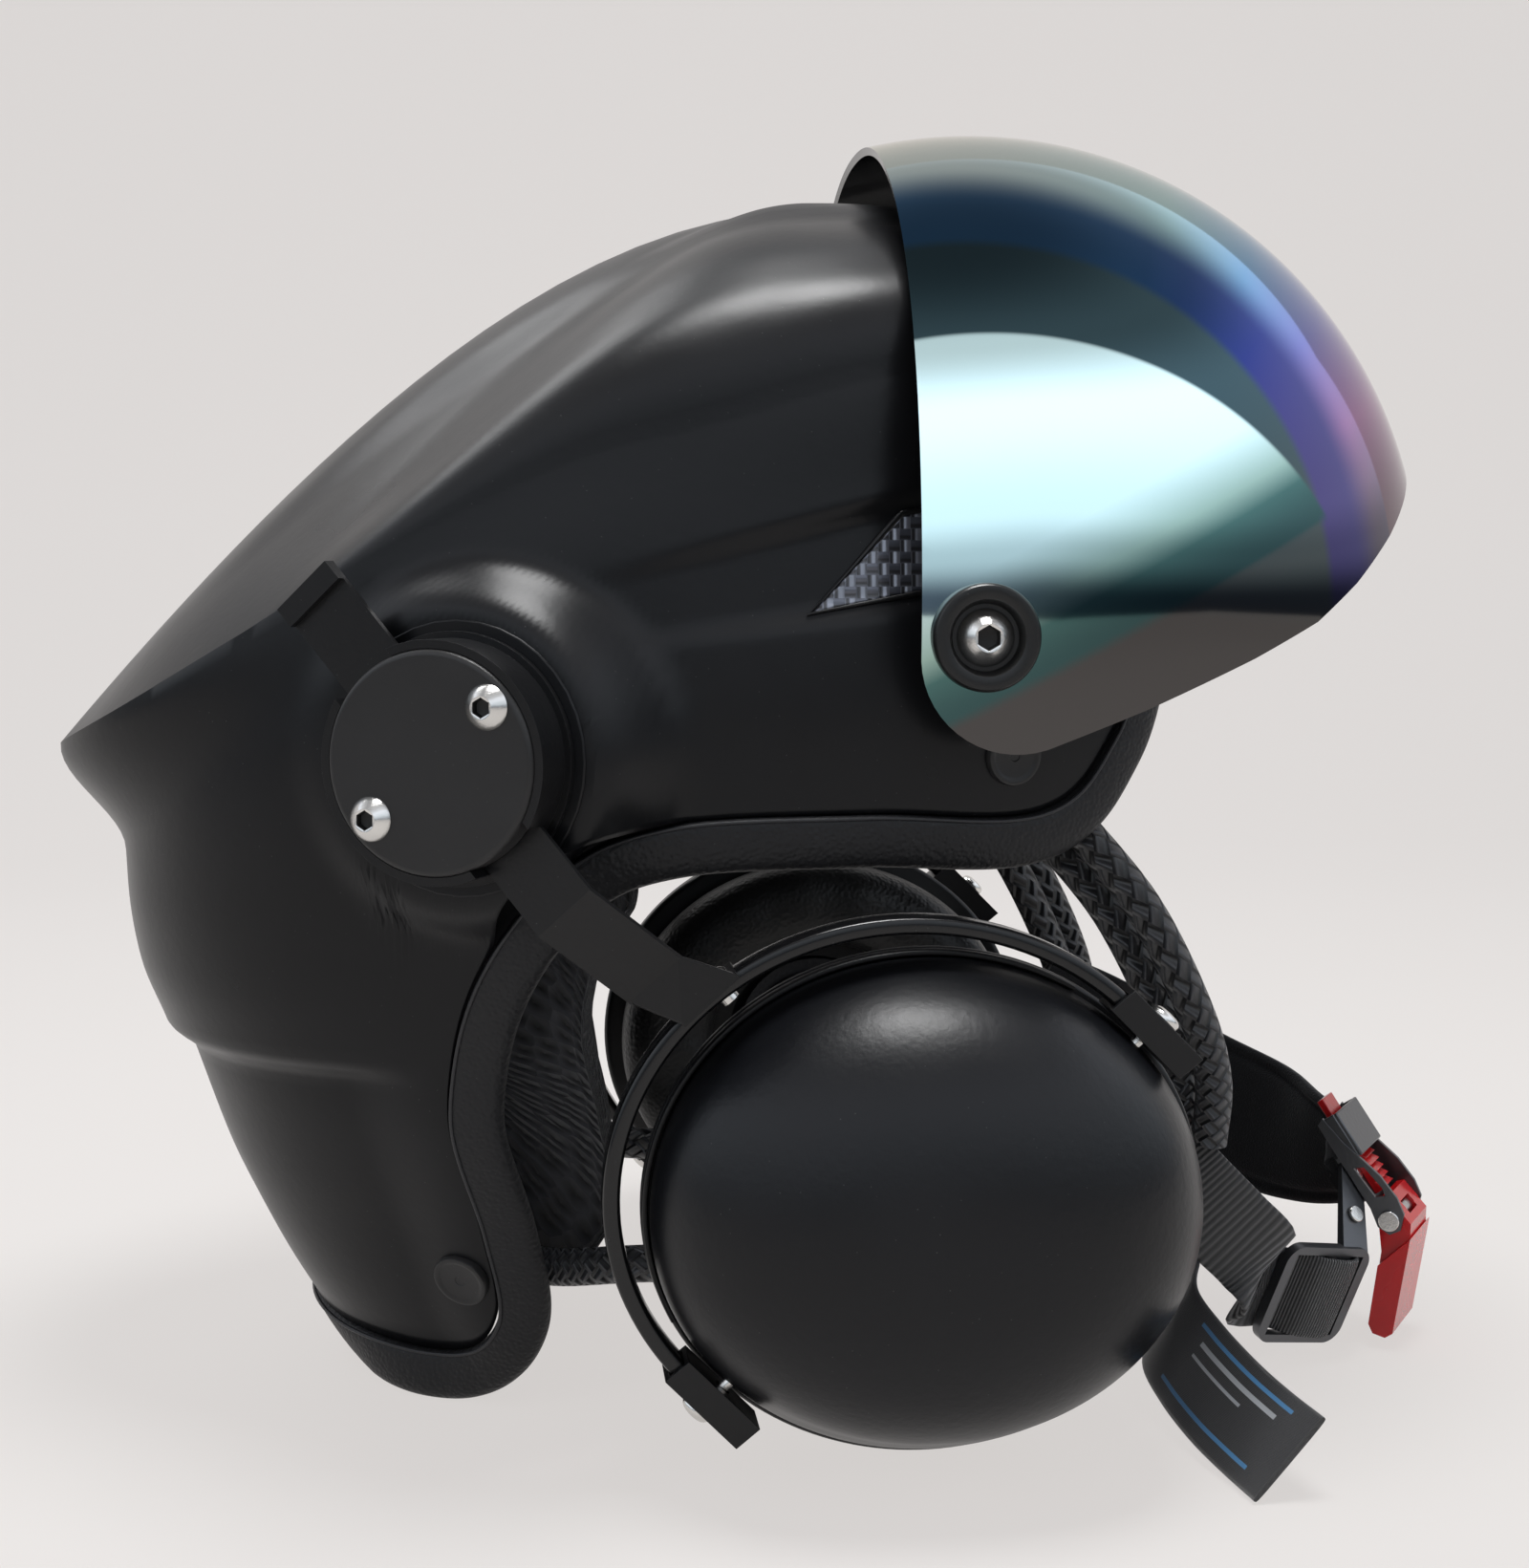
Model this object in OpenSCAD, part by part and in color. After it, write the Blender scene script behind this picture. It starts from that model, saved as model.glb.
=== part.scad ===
// Open-face flying helmet with a flip visor, swivelling ear cups and a ratchet chin strap.
// Millimetres. +X is the wearer's front, +Y the wearer's left, +Z up. Z 0 is the ground it stands on.

/* [Shell] */
// Height of the crown above the ground
crown_z = 296; // [270:1:320]
// Half of the widest shell width
half_w = 104; // [98:1:110]
// Length from the shell's axis to the front of the brow
front_len = 161; // [152:1:168]
// Length from the shell's axis to the back wall
rear_len = 120; // [112:1:126]
// How far the tail stands out behind the back wall
tail_len = 16; // [8:1:22]
// Wall thickness of the moulded shell
shell_wall = 3; // [2.4:0.1:3.6]
// Depth of the step above the nape skirt
nape_step = 4.5; // [2:0.5:5]
// Height that the centre band stands above the side lobes
band_rise = 3; // [1:0.5:4]
// Thickness of the foam liner
foam_t = 19; // [14:1:22]
// Thickness of the knitted comfort liner
comfort_t = 7; // [4:1:9]
// Width of the edge trim beyond the shell edge
trim_w = 13; // [10:0.5:14]
// Thickness of the edge trim
trim_t = 6.4; // [5:0.2:8]

/* [Visor] */
// Radius of the visor at the middle, about its own axis
visor_r = 118; // [116:0.5:121]
// Half of the visor's width
visor_half_w = 110; // [108:0.5:113]
// Thickness of the visor
visor_t = 2; // [1.6:0.1:2.4]
// Distance of the visor's own axis in front of its pivot
visor_lead = 14; // [12:0.5:16]
// Diameter of the pivot washers
washer_d = 24; // [21:0.5:27]
// Diameter of the pivot screw's thread
visor_screw_d = 5; // [4:0.5:6]

/* [Ear cup mount] */
// Angle by which the mount faces the back
mount_yaw = 26; // [22:1:30]
// Height of the boss under the mount
boss_h = 8; // [7:0.5:10]
// Diameter of the mount
mount_d = 52.5; // [50:0.5:55]
// Height of the mount above its boss
mount_h = 13.5; // [12.5:0.5:15]
// Width of the spring steel arm
arm_w = 16; // [12:0.5:18]
// Thickness of the spring steel arm
arm_t = 1.5; // [1:0.1:1.8]
// Slope of the arm below the horizontal
arm_slope = 48.5; // [44:0.5:53]
// Length of the arm above the mount's centre
arm_up = 50; // [44:1:56]
// Distance of the mount screws from the centre
mount_screw_r = 18.5; // [17:0.5:20]

/* [Ear cup] */
// Radius of the cup
cup_r = 58.5; // [56:0.5:60]
// Depth of the cup dome
cup_depth = 48; // [40:1:54]
// Wall thickness of the cup
cup_wall = 2.6; // [2:0.2:3.4]
// Cup centre in front of the origin
cup_x = 26; // [23:1:28]
// Cup rim plane from the middle of the helmet
cup_y = 104; // [103:0.5:107]
// Thickness of the cushion
cushion_t = 22; // [16:1:25]
// Angle of the cup's tilting axis above the horizontal
tilt_angle = 42; // [38:1:46]
// Gap between the cup and the legs of the yoke
yoke_gap = 1.8; // [1.6:0.2:3]
// Distance of the yoke's bend from the cup, beyond that gap
yoke_lead = 7; // [5:0.5:9]
// Thickness of the yoke
yoke_t = 4; // [3:0.5:5]
// Width of the yoke
yoke_w = 9; // [7:0.5:11]

/* [Chin strap] */
// Diameter of the braided strap sleeves
sleeve_d = 9; // [8:0.5:9.2]
// Width of the padded chin strap
chin_w = 38; // [32:1:42]
// Thickness of the padded chin strap
chin_t = 5; // [4:0.5:6]
// Width of the flat webbing
web_w = 23; // [20:1:25]
// Thickness of the flat webbing
web_t = 2; // [1.4:0.1:2.4]
// Width of the buckle plates
buckle_w = 22; // [20:1:24]
// Length of the toothed ladder
ladder_l = 28; // [24:1:32]

/* [Hidden] */
$fn = 64;

// Clearance between pieces that only lie against each other
fit = 0.3;
// Radial clearance of a turning pin in its bore
run = 0.05;

// Shell form: the axis, the crown point and the squareness of its level sections
axis_x = -44;
crown_x = 15;
square = 2.3;

// Back wall, front wall and half width down the shell, as shares of their driving sizes.
// The first number of each row is a height as a share of crown_z.
rear_tab = [[0.05, 0.645], [0.10, 0.718], [0.15, 0.78], [0.20, 0.835], [0.28, 0.902], [0.31, 0.928], [0.36, 0.975],
    [0.43, 0.998], [0.56, 0.99], [0.70, 0.875], [0.85, 0.75], [0.95, 0.68]];
front_tab = [[0.30, 0.96], [0.51, 1], [0.60, 1], [0.68, 0.98], [0.774, 0.944], [0.87, 0.87], [0.95, 0.8]];
width_tab = [[0.05, 0.60], [0.15, 0.713], [0.25, 0.838], [0.31, 0.88], [0.37, 0.925], [0.44, 0.965],
    [0.51, 0.99], [0.59, 1], [0.68, 0.985], [0.76, 0.955], [0.85, 0.91], [0.93, 0.85]];
// Height of the shoulder line from the tail to the brow, as shares of length and crown_z
shoulder_tab = [[0, 0.54], [0.083, 0.581], [0.178, 0.632], [0.275, 0.686], [0.377, 0.736],
    [0.471, 0.774], [0.569, 0.797], [0.732, 0.8395], [1, 0.864]];
shoulder_front = 0.87;
shoulder_w = 0.94;
// Right half of the shell edge: angle from the front, height as a share of crown_z,
// and the angle at which its grid line leaves the shoulder
edge_tab = [[0, 0.774, 0], [19, 0.738, 14], [28, 0.655, 26], [33.5, 0.557, 35], [41, 0.501, 46],
    [60, 0.504, 62], [83, 0.499, 80], [97, 0.464, 93], [108.5, 0.375, 105], [114, 0.268, 118],
    [112.7, 0.16, 130], [113.5, 0.081, 141], [125, 0.0465, 152], [150, 0.05, 166], [180, 0.062, 180]];
edge_rows = 2 * (len(edge_tab) - 1);

function mix(a, b, t) = a + (b - a) * t;
function ease(t) = let (c = max(0, min(1, t))) c * c * (3 - 2 * c);
function unit(v) = v / norm(v);
function row_below(tab, x, i = 0) = (i >= len(tab) - 2 || x < tab[i + 1][0]) ? i : row_below(tab, x, i + 1);
// Smooth curve through the rows of a table
function curve(tab, x) =
    let (i = row_below(tab, x), n = len(tab) - 1, a = tab[i], b = tab[i + 1], h = b[0] - a[0],
        t = max(0, min(1, (x - a[0]) / h)),
        ma = (i == 0) ? (b[1] - a[1]) / h : (b[1] - tab[i - 1][1]) / (b[0] - tab[i - 1][0]),
        mb = (i == n - 1) ? (b[1] - a[1]) / h : (tab[i + 2][1] - a[1]) / (tab[i + 2][0] - a[0]))
    a[1] * (2 * t * t * t - 3 * t * t + 1) + ma * h * (t * t * t - 2 * t * t + t)
        + b[1] * (3 * t * t - 2 * t * t * t) + mb * h * (t * t * t - t * t);
// Smooth path through four neighbouring points
function between(p0, p1, p2, p3, f) = p1 + 0.5 * f * ((p2 - p0)
    + f * ((2 * p0 - 5 * p1 + 4 * p2 - p3) + f * (3 * (p1 - p2) + p3 - p0)));
function edge_row(i) =
    let (turn = floor(i / edge_rows), k = i - turn * edge_rows, m = edge_rows - k)
    (k <= edge_rows / 2 ? edge_tab[k] : [360 - edge_tab[m][0], edge_tab[m][1], 360 - edge_tab[m][2]])
        + turn * [360, 0, 360];
function edge_at(t) = let (i = floor(t))
    between(edge_row(i - 1), edge_row(i), edge_row(i + 1), edge_row(i + 2), t - i);

// Level section: a rounded oval with its own front, back and side reach
function oval(phi, front, rear, side) =
    pow(pow(abs(cos(phi)) / (cos(phi) > 0 ? front : rear), square) + pow(abs(sin(phi)) / side, square), -1 / square);
function body_r(phi, z) = let (h = z / crown_z)
    oval(phi, front_len * curve(front_tab, h), rear_len * curve(rear_tab, h), half_w * curve(width_tab, h));
function shoulder_r(phi, tail) =
    oval(phi, front_len * shoulder_front, rear_len, half_w * shoulder_w)
        + tail * tail_len * pow(max(0, -cos(phi)), 5);
function shoulder_z(phi, tail) =
    let (x = shoulder_r(phi, 1) * cos(phi), back = -rear_len - tail_len, front = front_len * shoulder_front)
    crown_z * curve(shoulder_tab, (x - back) / (front - back));
function turned(phi) = abs(phi > 180 ? 360 - phi : phi);
tail_fade = 27;
step_top = 0.309;
step_low = 0.287;
function wall_r(phi, z, tail) =
    let (top = shoulder_z(phi, tail), lead = shoulder_r(phi, tail) - body_r(phi, top))
    body_r(phi, z) + lead * (1 - ease((top - z) / tail_fade))
        - nape_step * (1 - ease((z / crown_z - step_low) / (step_top - step_low))) * ease((turned(phi) - 114) / 16);
// Side scoop: two lines run forward and open the wall between them
scoop_back = -60;
scoop_deep = 2.4;
// The liners leave the tail empty and keep a little further in under the scoop and the side lobes
function relief(tail) = tail == 1 ? 1 : 1.3;
function scoop(x, z) =
    let (low = 190 + 0.13 * x, high = 216.5 + 0.25 * x)
    scoop_deep * ease((x - scoop_back) / 70) * ease((z - low) / 6) * ease((high - z) / 6);
function at_wall(phi, z, tail) =
    let (r = wall_r(phi, z, tail), x = axis_x + r * cos(phi), d = relief(tail) * scoop(x, z))
    [axis_x + (r - d) * cos(phi), -(r - d) * sin(phi), z];
// Cap: straight towards the tail, rounded over at the sides and the brow
function cap_drop(t, phi) =
    let (away = turned(phi), round = 1 - pow(1 - pow(t, 2.2), 1 / 2.2),
        lean = (sqrt(1 + t * t) - 1) / (sqrt(2) - 1))
    mix(lean, round, ease((135 - away) / 65));
band_half = 33;
function at_cap(phi, t, tail) =
    let (z = shoulder_z(phi, tail), r = shoulder_r(phi, tail), p = [axis_x + r * cos(phi), -r * sin(phi)],
        c = [crown_x, 0], q = c + (p - c) * t, side = ease((abs(q[1]) - band_half) / 15),
        fade = ease((q[0] + 150) / 60) * ease((1 - t) / 0.2))
    [q[0], q[1], crown_z - (crown_z - z) * cap_drop(t, phi) - relief(tail) * band_rise * side * fade];
// Height down a grid line; lines that reach the nape skirt keep two rings on its step
step_rings = [0.5, 7 / 12];
function level(top, low, v) =
    let (up = step_top * crown_z, down = step_low * crown_z, stepped = ease((down - low) / 30),
        w = v < step_rings[0] ? mix(top, up, v / step_rings[0])
            : v < step_rings[1] ? mix(up, down, (v - step_rings[0]) / (step_rings[1] - step_rings[0]))
            : mix(down, low, (v - step_rings[1]) / (1 - step_rings[1])))
    mix(mix(top, low, v), w, stepped);
// Point of the shell: v runs from -1 at the crown over 0 at the shoulder to 1 at the edge
function at_shell(t, v, tail) =
    let (e = edge_at(t))
    v <= 0 ? at_cap(e[2], 1 + v, tail) : let (q = on_wall(e, v, tail)) at_wall(q[0], q[1], tail);
function on_wall(e, v, tail) = [mix(e[2], e[0], v), level(shoulder_z(e[2], tail), e[1] * crown_z, v)];
function wall_normal(phi, z, tail = 1) =
    unit(cross(at_wall(phi + 1, z, tail) - at_wall(phi - 1, z, tail), at_wall(phi, z - 1, tail) - at_wall(phi, z + 1, tail)));

function rings(cap_n, wall_n, v_end) = concat([for (j = [1:cap_n]) sin(90 * j / cap_n) - 1],
    [for (j = [1:wall_n]) v_end * j / wall_n]);
function grid(n, vs, tail) = [for (v = vs) [for (i = [0:n - 1]) at_shell(i * edge_rows / n, v, tail)]];
crown_p = [crown_x, 0, crown_z];
function grid_normals(g, vs, tail) = let (n = len(g[0]), m = len(g))
    [for (j = [0:m - 1]) [for (i = [0:n - 1]) vs[j] > 0
        ? let (q = on_wall(edge_at(i * edge_rows / n), vs[j], tail)) wall_normal(q[0], q[1], tail)
        : unit(cross(g[j][(i + 1) % n] - g[j][(i + n - 1) % n], g[j + 1][i] - (j == 0 ? crown_p : g[j - 1][i])))]];
function sink(g, normals, d) =
    [for (j = [0:len(g) - 1]) [for (i = [0:len(g[0]) - 1]) g[j][i] - d * normals[j][i]]];
// Moves a skin towards the middle of the head room
head_c = [axis_x + 10, 0, 168];
function shrink(g, d) = [for (row = g) [for (p = row) p - d * unit(p - head_c)]];
function flat(rows) = [for (r = rows) for (p = r) p];

// Closed bowl between an outer and an inner skin, with one crown point on each
module bowl(outer, inner, outer_top, inner_top) {
    m = len(outer);
    n = len(outer[0]);
    k = m * n;
    sides = [for (j = [0:m - 2]) for (i = [0:n - 1]) let (a = j * n + i, b = j * n + (i + 1) % n)
        each [[a, a + n, b], [b, a + n, b + n], [k + a, k + b, k + a + n], [k + b, k + b + n, k + a + n]]];
    tops = [for (i = [0:n - 1]) each [[2 * k, i, (i + 1) % n], [2 * k + 1, k + (i + 1) % n, k + i]]];
    lip = [for (i = [0:n - 1]) let (a = k - n + i, b = k - n + (i + 1) % n)
        each [[a, k + a, b], [b, k + a, k + b]]];
    polyhedron(concat(flat(outer), flat(inner), [outer_top, inner_top]), concat(sides, tops, lip));
}

// Sweep of closed outlines along a path. Each ring lies across the path, with its first
// axis along the vector given for that point.
function rung(p, tangent, across, outline) =
    let (x = unit(across - tangent * (across * tangent)), y = cross(tangent, x))
    [for (q = outline) p + q[0] * x + q[1] * y];
function tangent(path, i) = unit(path[min(i + 1, len(path) - 1)] - path[max(i - 1, 0)]);
module sweep(path, across, outlines) {
    m = len(path);
    n = len(outlines[0]);
    pts = [for (i = [0:m - 1]) each rung(path[i], tangent(path, i), across[i], outlines[i])];
    sides = [for (j = [0:m - 2]) for (i = [0:n - 1]) let (a = j * n + i, b = j * n + (i + 1) % n)
        each [[a, a + n, b], [b, a + n, b + n]]];
    polyhedron(concat(pts, [path[0], path[m - 1]]), concat(sides,
        [for (i = [0:n - 1]) [m * n, i, (i + 1) % n]],
        [for (i = [0:n - 1]) [m * n + 1, (m - 1) * n + (i + 1) % n, (m - 1) * n + i]]));
}
// Smooth run of points through a short hand-chosen list
function smooth_run(pts, k) = let (n = len(pts) - 1)
    [for (s = [0:n * k]) let (i = min(floor(s / k), n - 1))
        between(pts[max(i - 1, 0)], pts[i], pts[i + 1], pts[min(i + 2, n)], s / k - i)];
function ring_outline(r, n) = [for (i = [0:n - 1]) r * [cos(360 * i / n), sin(360 * i / n)]];
// Flat strap section with rounded long edges
function strap_outline(w, t) = [[-w / 2 + t / 2, -t / 2], [w / 2 - t / 2, -t / 2], [w / 2, 0],
    [w / 2 - t / 2, t / 2], [-w / 2 + t / 2, t / 2], [-w / 2, 0]];

// Turns local Z to a direction
module aim(p, n) {
    translate(p) rotate([0, acos(n[2] / norm(n)), atan2(n[1], n[0])]) children();
}
module mirrored() {
    mirror([0, 1, 0]) children();
}
module both() {
    children();
    mirrored() children();
}

// Distance from a point along a direction to the shell wall
function outside(p) = let (phi = atan2(-p[1], p[0] - axis_x))
    norm([p[0] - axis_x, p[1]]) > wall_r(phi, p[2], 1) - scoop(p[0], p[2]);
function reach(p, dir, lo = 0, hi = 60, k = 22) = k == 0 ? lo
    : let (m = (lo + hi) / 2) outside(p + m * dir) ? reach(p, dir, m, hi, k - 1) : reach(p, dir, lo, m, k - 1);
// Round pad whose foot follows the shell; x and y span its flat top
module shell_pad(top, x, y, r, n) {
    down = cross(y, x);
    function foot(q) = q + (reach(q, down) - fit / 2) * down;
    steps = [1, 0.66, 0.33];
    tops = [for (i = [0:n - 1]) top + r * (cos(360 * i / n) * x + sin(360 * i / n) * y)];
    feet = [for (s = steps) [for (q = tops) foot(top + s * (q - top))]];
    k = n * (len(steps) + 1);
    polyhedron(concat(tops, flat(feet), [top, foot(top)]), concat(
        [for (j = [0:len(steps) - 1]) for (i = [0:n - 1]) let (a = j * n + i, b = j * n + (i + 1) % n)
            each [[a, b, a + n], [b, b + n, a + n]]],
        [for (i = [0:n - 1]) [k, (i + 1) % n, i]],
        [for (i = [0:n - 1]) [k + 1, k - n + i, k - n + (i + 1) % n]]));
}

// Shell
shell_n = 84;
shell_rings = rings(6, 12, 1);
outer_skin = grid(shell_n, shell_rings, 1);
outer_normals = grid_normals(outer_skin, shell_rings, 1);
module shell() {
    color("#17181a") bowl(outer_skin, sink(outer_skin, outer_normals, shell_wall), crown_p, crown_p - [0, 0, shell_wall]);
}
liner_n = 42;
liner_gap = 2.2;
module liner_bowl(v_end, gap, t) {
    vs = rings(4, 6, v_end);
    plain = grid(liner_n, vs, 0);
    skin = sink(plain, grid_normals(plain, vs, 0), shell_wall + liner_gap);
    bowl(shrink(skin, gap), shrink(skin, gap + t), crown_p - [0, 0, shell_wall + liner_gap + gap],
        crown_p - [0, 0, shell_wall + liner_gap + gap + t]);
}
module foam_liner() {
    color("#26272a") liner_bowl(0.95, 0, foam_t);
}
module comfort_liner() {
    color("#101112") liner_bowl(0.95, foam_t + fit, comfort_t);
}
// Edge trim: rounded strip that carries on from the shell edge
trim_ring = outer_skin[len(outer_skin) - 1];
trim_normals = outer_normals[len(outer_skin) - 1];
trim_gap = 0.35;
module edge_trim() {
    n = len(trim_ring);
    outline = [[0, -0.5], [0, 0.5], [0.4, 0.62], [0.82, 0.45], [1, 0], [0.82, -0.45], [0.4, -0.62]];
    k = len(outline);
    pts = [for (i = [0:n - 1])
        let (p = trim_ring[i] - trim_normals[i] * shell_wall / 2,
            along = unit(trim_ring[(i + 1) % n] - trim_ring[(i + n - 1) % n]), out = cross(trim_normals[i], along))
        each [for (q = outline) p + (trim_gap + q[0] * (trim_w - trim_gap)) * out + q[1] * trim_t * trim_normals[i]]];
    color("#0f1011") polyhedron(pts, [for (i = [0:n - 1]) for (j = [0:k - 1])
        let (a = i * k + j, b = i * k + (j + 1) % k, c = ((i + 1) % n) * k + j, d = ((i + 1) % n) * k + (j + 1) % k)
        each [[a, b, c], [b, d, c]]]);
}
// Vent grille: woven plate in the scoop
grille_corners = [[0, 194], [21.5, 215], [41.5, 217.5], [36, 201]];
grille_t = 1.4;
grille_seat = 0.8;
function grille_xz(u, v) = mix(mix(grille_corners[0], grille_corners[3], u), mix(grille_corners[1], grille_corners[2], u), v);
function wall_y(x, z) = let (top = [x, -half_w - 20, z]) top[1] + reach(top, [0, 1, 0]);
module vent_grilles() {
    n = 9;
    outer = [for (j = [0:n]) [for (i = [0:n]) let (q = grille_xz(i / n, j / n)) [q[0], wall_y(q[0], q[1]) - grille_seat, q[1]]]];
    back = [for (row = outer) [for (p = row) p - [0, grille_t, 0]]];
    m = n + 1;
    k = m * m;
    faces = [for (j = [0:n - 1]) for (i = [0:n - 1]) let (a = j * m + i)
        each [[a, a + 1, a + m], [a + 1, a + m + 1, a + m], [k + a, k + a + m, k + a + 1], [k + a + 1, k + a + m, k + a + m + 1]]];
    rim = [for (i = [0:n - 1]) each [
        [i, k + i, i + 1], [i + 1, k + i, k + i + 1],
        [n * m + i, n * m + i + 1, k + n * m + i], [n * m + i + 1, k + n * m + i + 1, k + n * m + i],
        [i * m, i * m + m, k + i * m], [i * m + m, k + i * m + m, k + i * m],
        [i * m + n, k + i * m + n, i * m + m + n], [i * m + m + n, k + i * m + n, k + i * m + m + n]]];
    color("#8b9096") both() polyhedron(concat(flat(outer), flat(back)), concat(faces, rim));
}
// Plugs over the strap anchors
plug_d = 13.6;
plug_h = 1.4;
plug_places = [[118.5, 0.118], [44.5, 0.545]];
module strap_plugs() {
    color("#1b1c1e") both() for (s = plug_places) {
        n = wall_normal(s[0], s[1] * crown_z);
        aim(at_wall(s[0], s[1] * crown_z, 1) + 0.25 * n, n) {
            cylinder(d = plug_d, h = plug_h * 0.6);
            translate([0, 0, plug_h * 0.6]) cylinder(d1 = plug_d, d2 = plug_d * 0.85, h = plug_h * 0.4);
        }
    }
}

// Visor
pivot_x = 37;
pivot_z = 189;
visor_rise = 7;
visor_square = 2.2;
visor_rear_x = 23.5;
visor_low = [60, 167];
visor_low_slope = 22.9;
visor_corner_r = 22;
// The lower edge rises faster towards the front
visor_front = [[118, 192], [130, 200.7], [142.4, 212], [151.3, 221.4], [170, 243]];
visor_pad_t = 4.6;
function visor_curve(r, w, dir) = [for (i = [0:24]) let (a = dir * (-90 + 7.5 * i))
    [r * pow(abs(cos(a)), 2 / visor_square), sign(a) * w * pow(abs(sin(a)), 2 / visor_square)]];
// Side outline: straight rear edge, round lower corner, rising lower edge
visor_corner_x = visor_rear_x + visor_corner_r;
visor_corner_z = visor_low[1] + (visor_corner_r + (visor_corner_x - visor_low[0]) * sin(visor_low_slope)) / cos(visor_low_slope);
module visor_side() {
    far = pivot_x + visor_lead + visor_r + 20;
    polygon(concat([for (a = [180:11.29:293]) [visor_corner_x + visor_corner_r * cos(a), visor_corner_z + visor_corner_r * sin(a)]],
        visor_front, [[far, pivot_z + visor_r + 20], [visor_rear_x, pivot_z + visor_r + 20]]));
}
module visor_hole(d) {
    translate([pivot_x, 0, pivot_z]) rotate([90, 0, 0]) cylinder(d = d, h = 2 * visor_half_w + 40, center = true);
}
module visor() {
    color("#4fa8b8") difference() {
        union() {
            intersection() {
                translate([pivot_x + visor_lead, 0, pivot_z + visor_rise]) rotate([90, 0, 0]) rotate_extrude($fn = 96)
                    polygon(concat(visor_curve(visor_r, visor_half_w, 1),
                        visor_curve(visor_r - visor_t, visor_half_w - visor_t, -1)));
                rotate([90, 0, 0]) linear_extrude(height = 2 * visor_half_w + 20, center = true) visor_side();
            }
            at_pivot() translate([0, 0, -visor_pad_t]) cylinder(d = washer_d, h = visor_pad_t);
        }
        visor_hole(visor_screw_d + 2 * run);
    }
}
washer_h = 5;
washer_floor = 1.8;
module at_pivot() {
    both() translate([pivot_x, -visor_half_w, pivot_z]) rotate([90, 0, 0]) children();
}
module visor_washers() {
    color("#141516") at_pivot() rotate_extrude() polygon([[visor_screw_d / 2 + run, 0], [washer_d / 2 - 0.8, 0],
        [washer_d / 2, 0.8], [washer_d / 2, washer_h - 1.2], [washer_d / 2 - 1.2, washer_h],
        [washer_d / 2 - 3.4, washer_h], [washer_d / 2 - 4.4, washer_floor], [visor_screw_d / 2 + run, washer_floor]]);
}
module button_screw(d, head_d, head_h, len, hex) {
    difference() {
        union() {
            rotate_extrude() polygon(concat([[0, 0], [head_d / 2, 0], [head_d / 2, head_h * 0.3]],
                [for (a = [15:15:75]) [head_d / 2 * (0.42 + 0.58 * cos(a)), head_h * (0.3 + 0.7 * sin(a))]], [[0, head_h]]));
            translate([0, 0, -len]) cylinder(d = d, h = len + 0.5);
        }
        translate([0, 0, head_h * 0.35]) cylinder(d = hex, h = head_h, $fn = 6);
    }
}
visor_head_d = 12.8;
visor_reach = 9;
module visor_screws() {
    color("#c9ccd0") at_pivot() translate([0, 0, washer_floor + run])
        button_screw(visor_screw_d, visor_head_d, 4.2, washer_floor + visor_pad_t + visor_reach, 5);
}
base_r = 10.5;
module visor_bases() {
    color("#141516") both() difference() {
        shell_pad([pivot_x, -visor_half_w + visor_pad_t + 2 * run, pivot_z], [1, 0, 0], [0, 0, 1], base_r, 24);
        visor_hole(visor_screw_d + 0.04);
    }
}

// Ear cup mounts. Their local frame: X forward, Y up, Z out of the mount
mount_phi = 106.8;
mount_at_z = 163;
mount_n = [-sin(mount_yaw), -cos(mount_yaw), 0];
mount_x = [cos(mount_yaw), -sin(mount_yaw), 0];
mount_seat = at_wall(mount_phi, mount_at_z, 1) + boss_h * mount_n;
boss_r = mount_d / 2 + 4;
spigot_d = 14;
spigot_h = 2.6;
module at_mount() {
    translate(mount_seat) rotate([90, 0, -mount_yaw]) children();
}
module arm_bosses() {
    color("#17181a") both() {
        difference() {
            shell_pad(mount_seat, mount_x, [0, 0, 1], boss_r, 36);
            at_mount() translate([0, 0, -7]) cylinder(d = 6, h = 10);
        }
    }
}
// Spigot on which the mount turns, held by its flange
slot_z = 4.6;
flange_t = 1.2;
module mount_pivots() {
    color("#8f9399") both() at_mount() {
        translate([0, 0, -6]) cylinder(d = 5.98, h = 6);
        cylinder(d = spigot_d, h = spigot_h + 0.1);
        translate([0, 0, spigot_h + 0.1]) cylinder(d = spigot_d + 5, h = flange_t);
    }
}
cover_d = mount_d - 4;
cover_z = slot_z + arm_t + 2 * run + 0.2;
mount_screw_d = 5;
module mount_screw_at() {
    for (s = [-1, 1]) rotate(-arm_slope) translate([0, s * mount_screw_r, 0]) children();
}
module mount_body() {
    color("#141516") at_mount() difference() {
        union() {
            translate([0, 0, run]) cylinder(d = mount_d + 3, h = 1.6);
            translate([0, 0, 1]) cylinder(d = mount_d, h = mount_h - 2);
        }
        translate([0, 0, -1]) cylinder(d = spigot_d + 2 * run, h = mount_h);
        translate([0, 0, spigot_h]) cylinder(d = spigot_d + 5.6, h = mount_h);
        translate([0, 0, cover_z]) cylinder(d = cover_d + 0.2, h = mount_h);
        rotate(-arm_slope) translate([0, 0, slot_z + mount_h / 2]) cube([mount_d * 2, arm_w + 0.4, mount_h], center = true);
        mount_screw_at() cylinder(d = mount_screw_d + 0.04, h = mount_h);
    }
}
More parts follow.
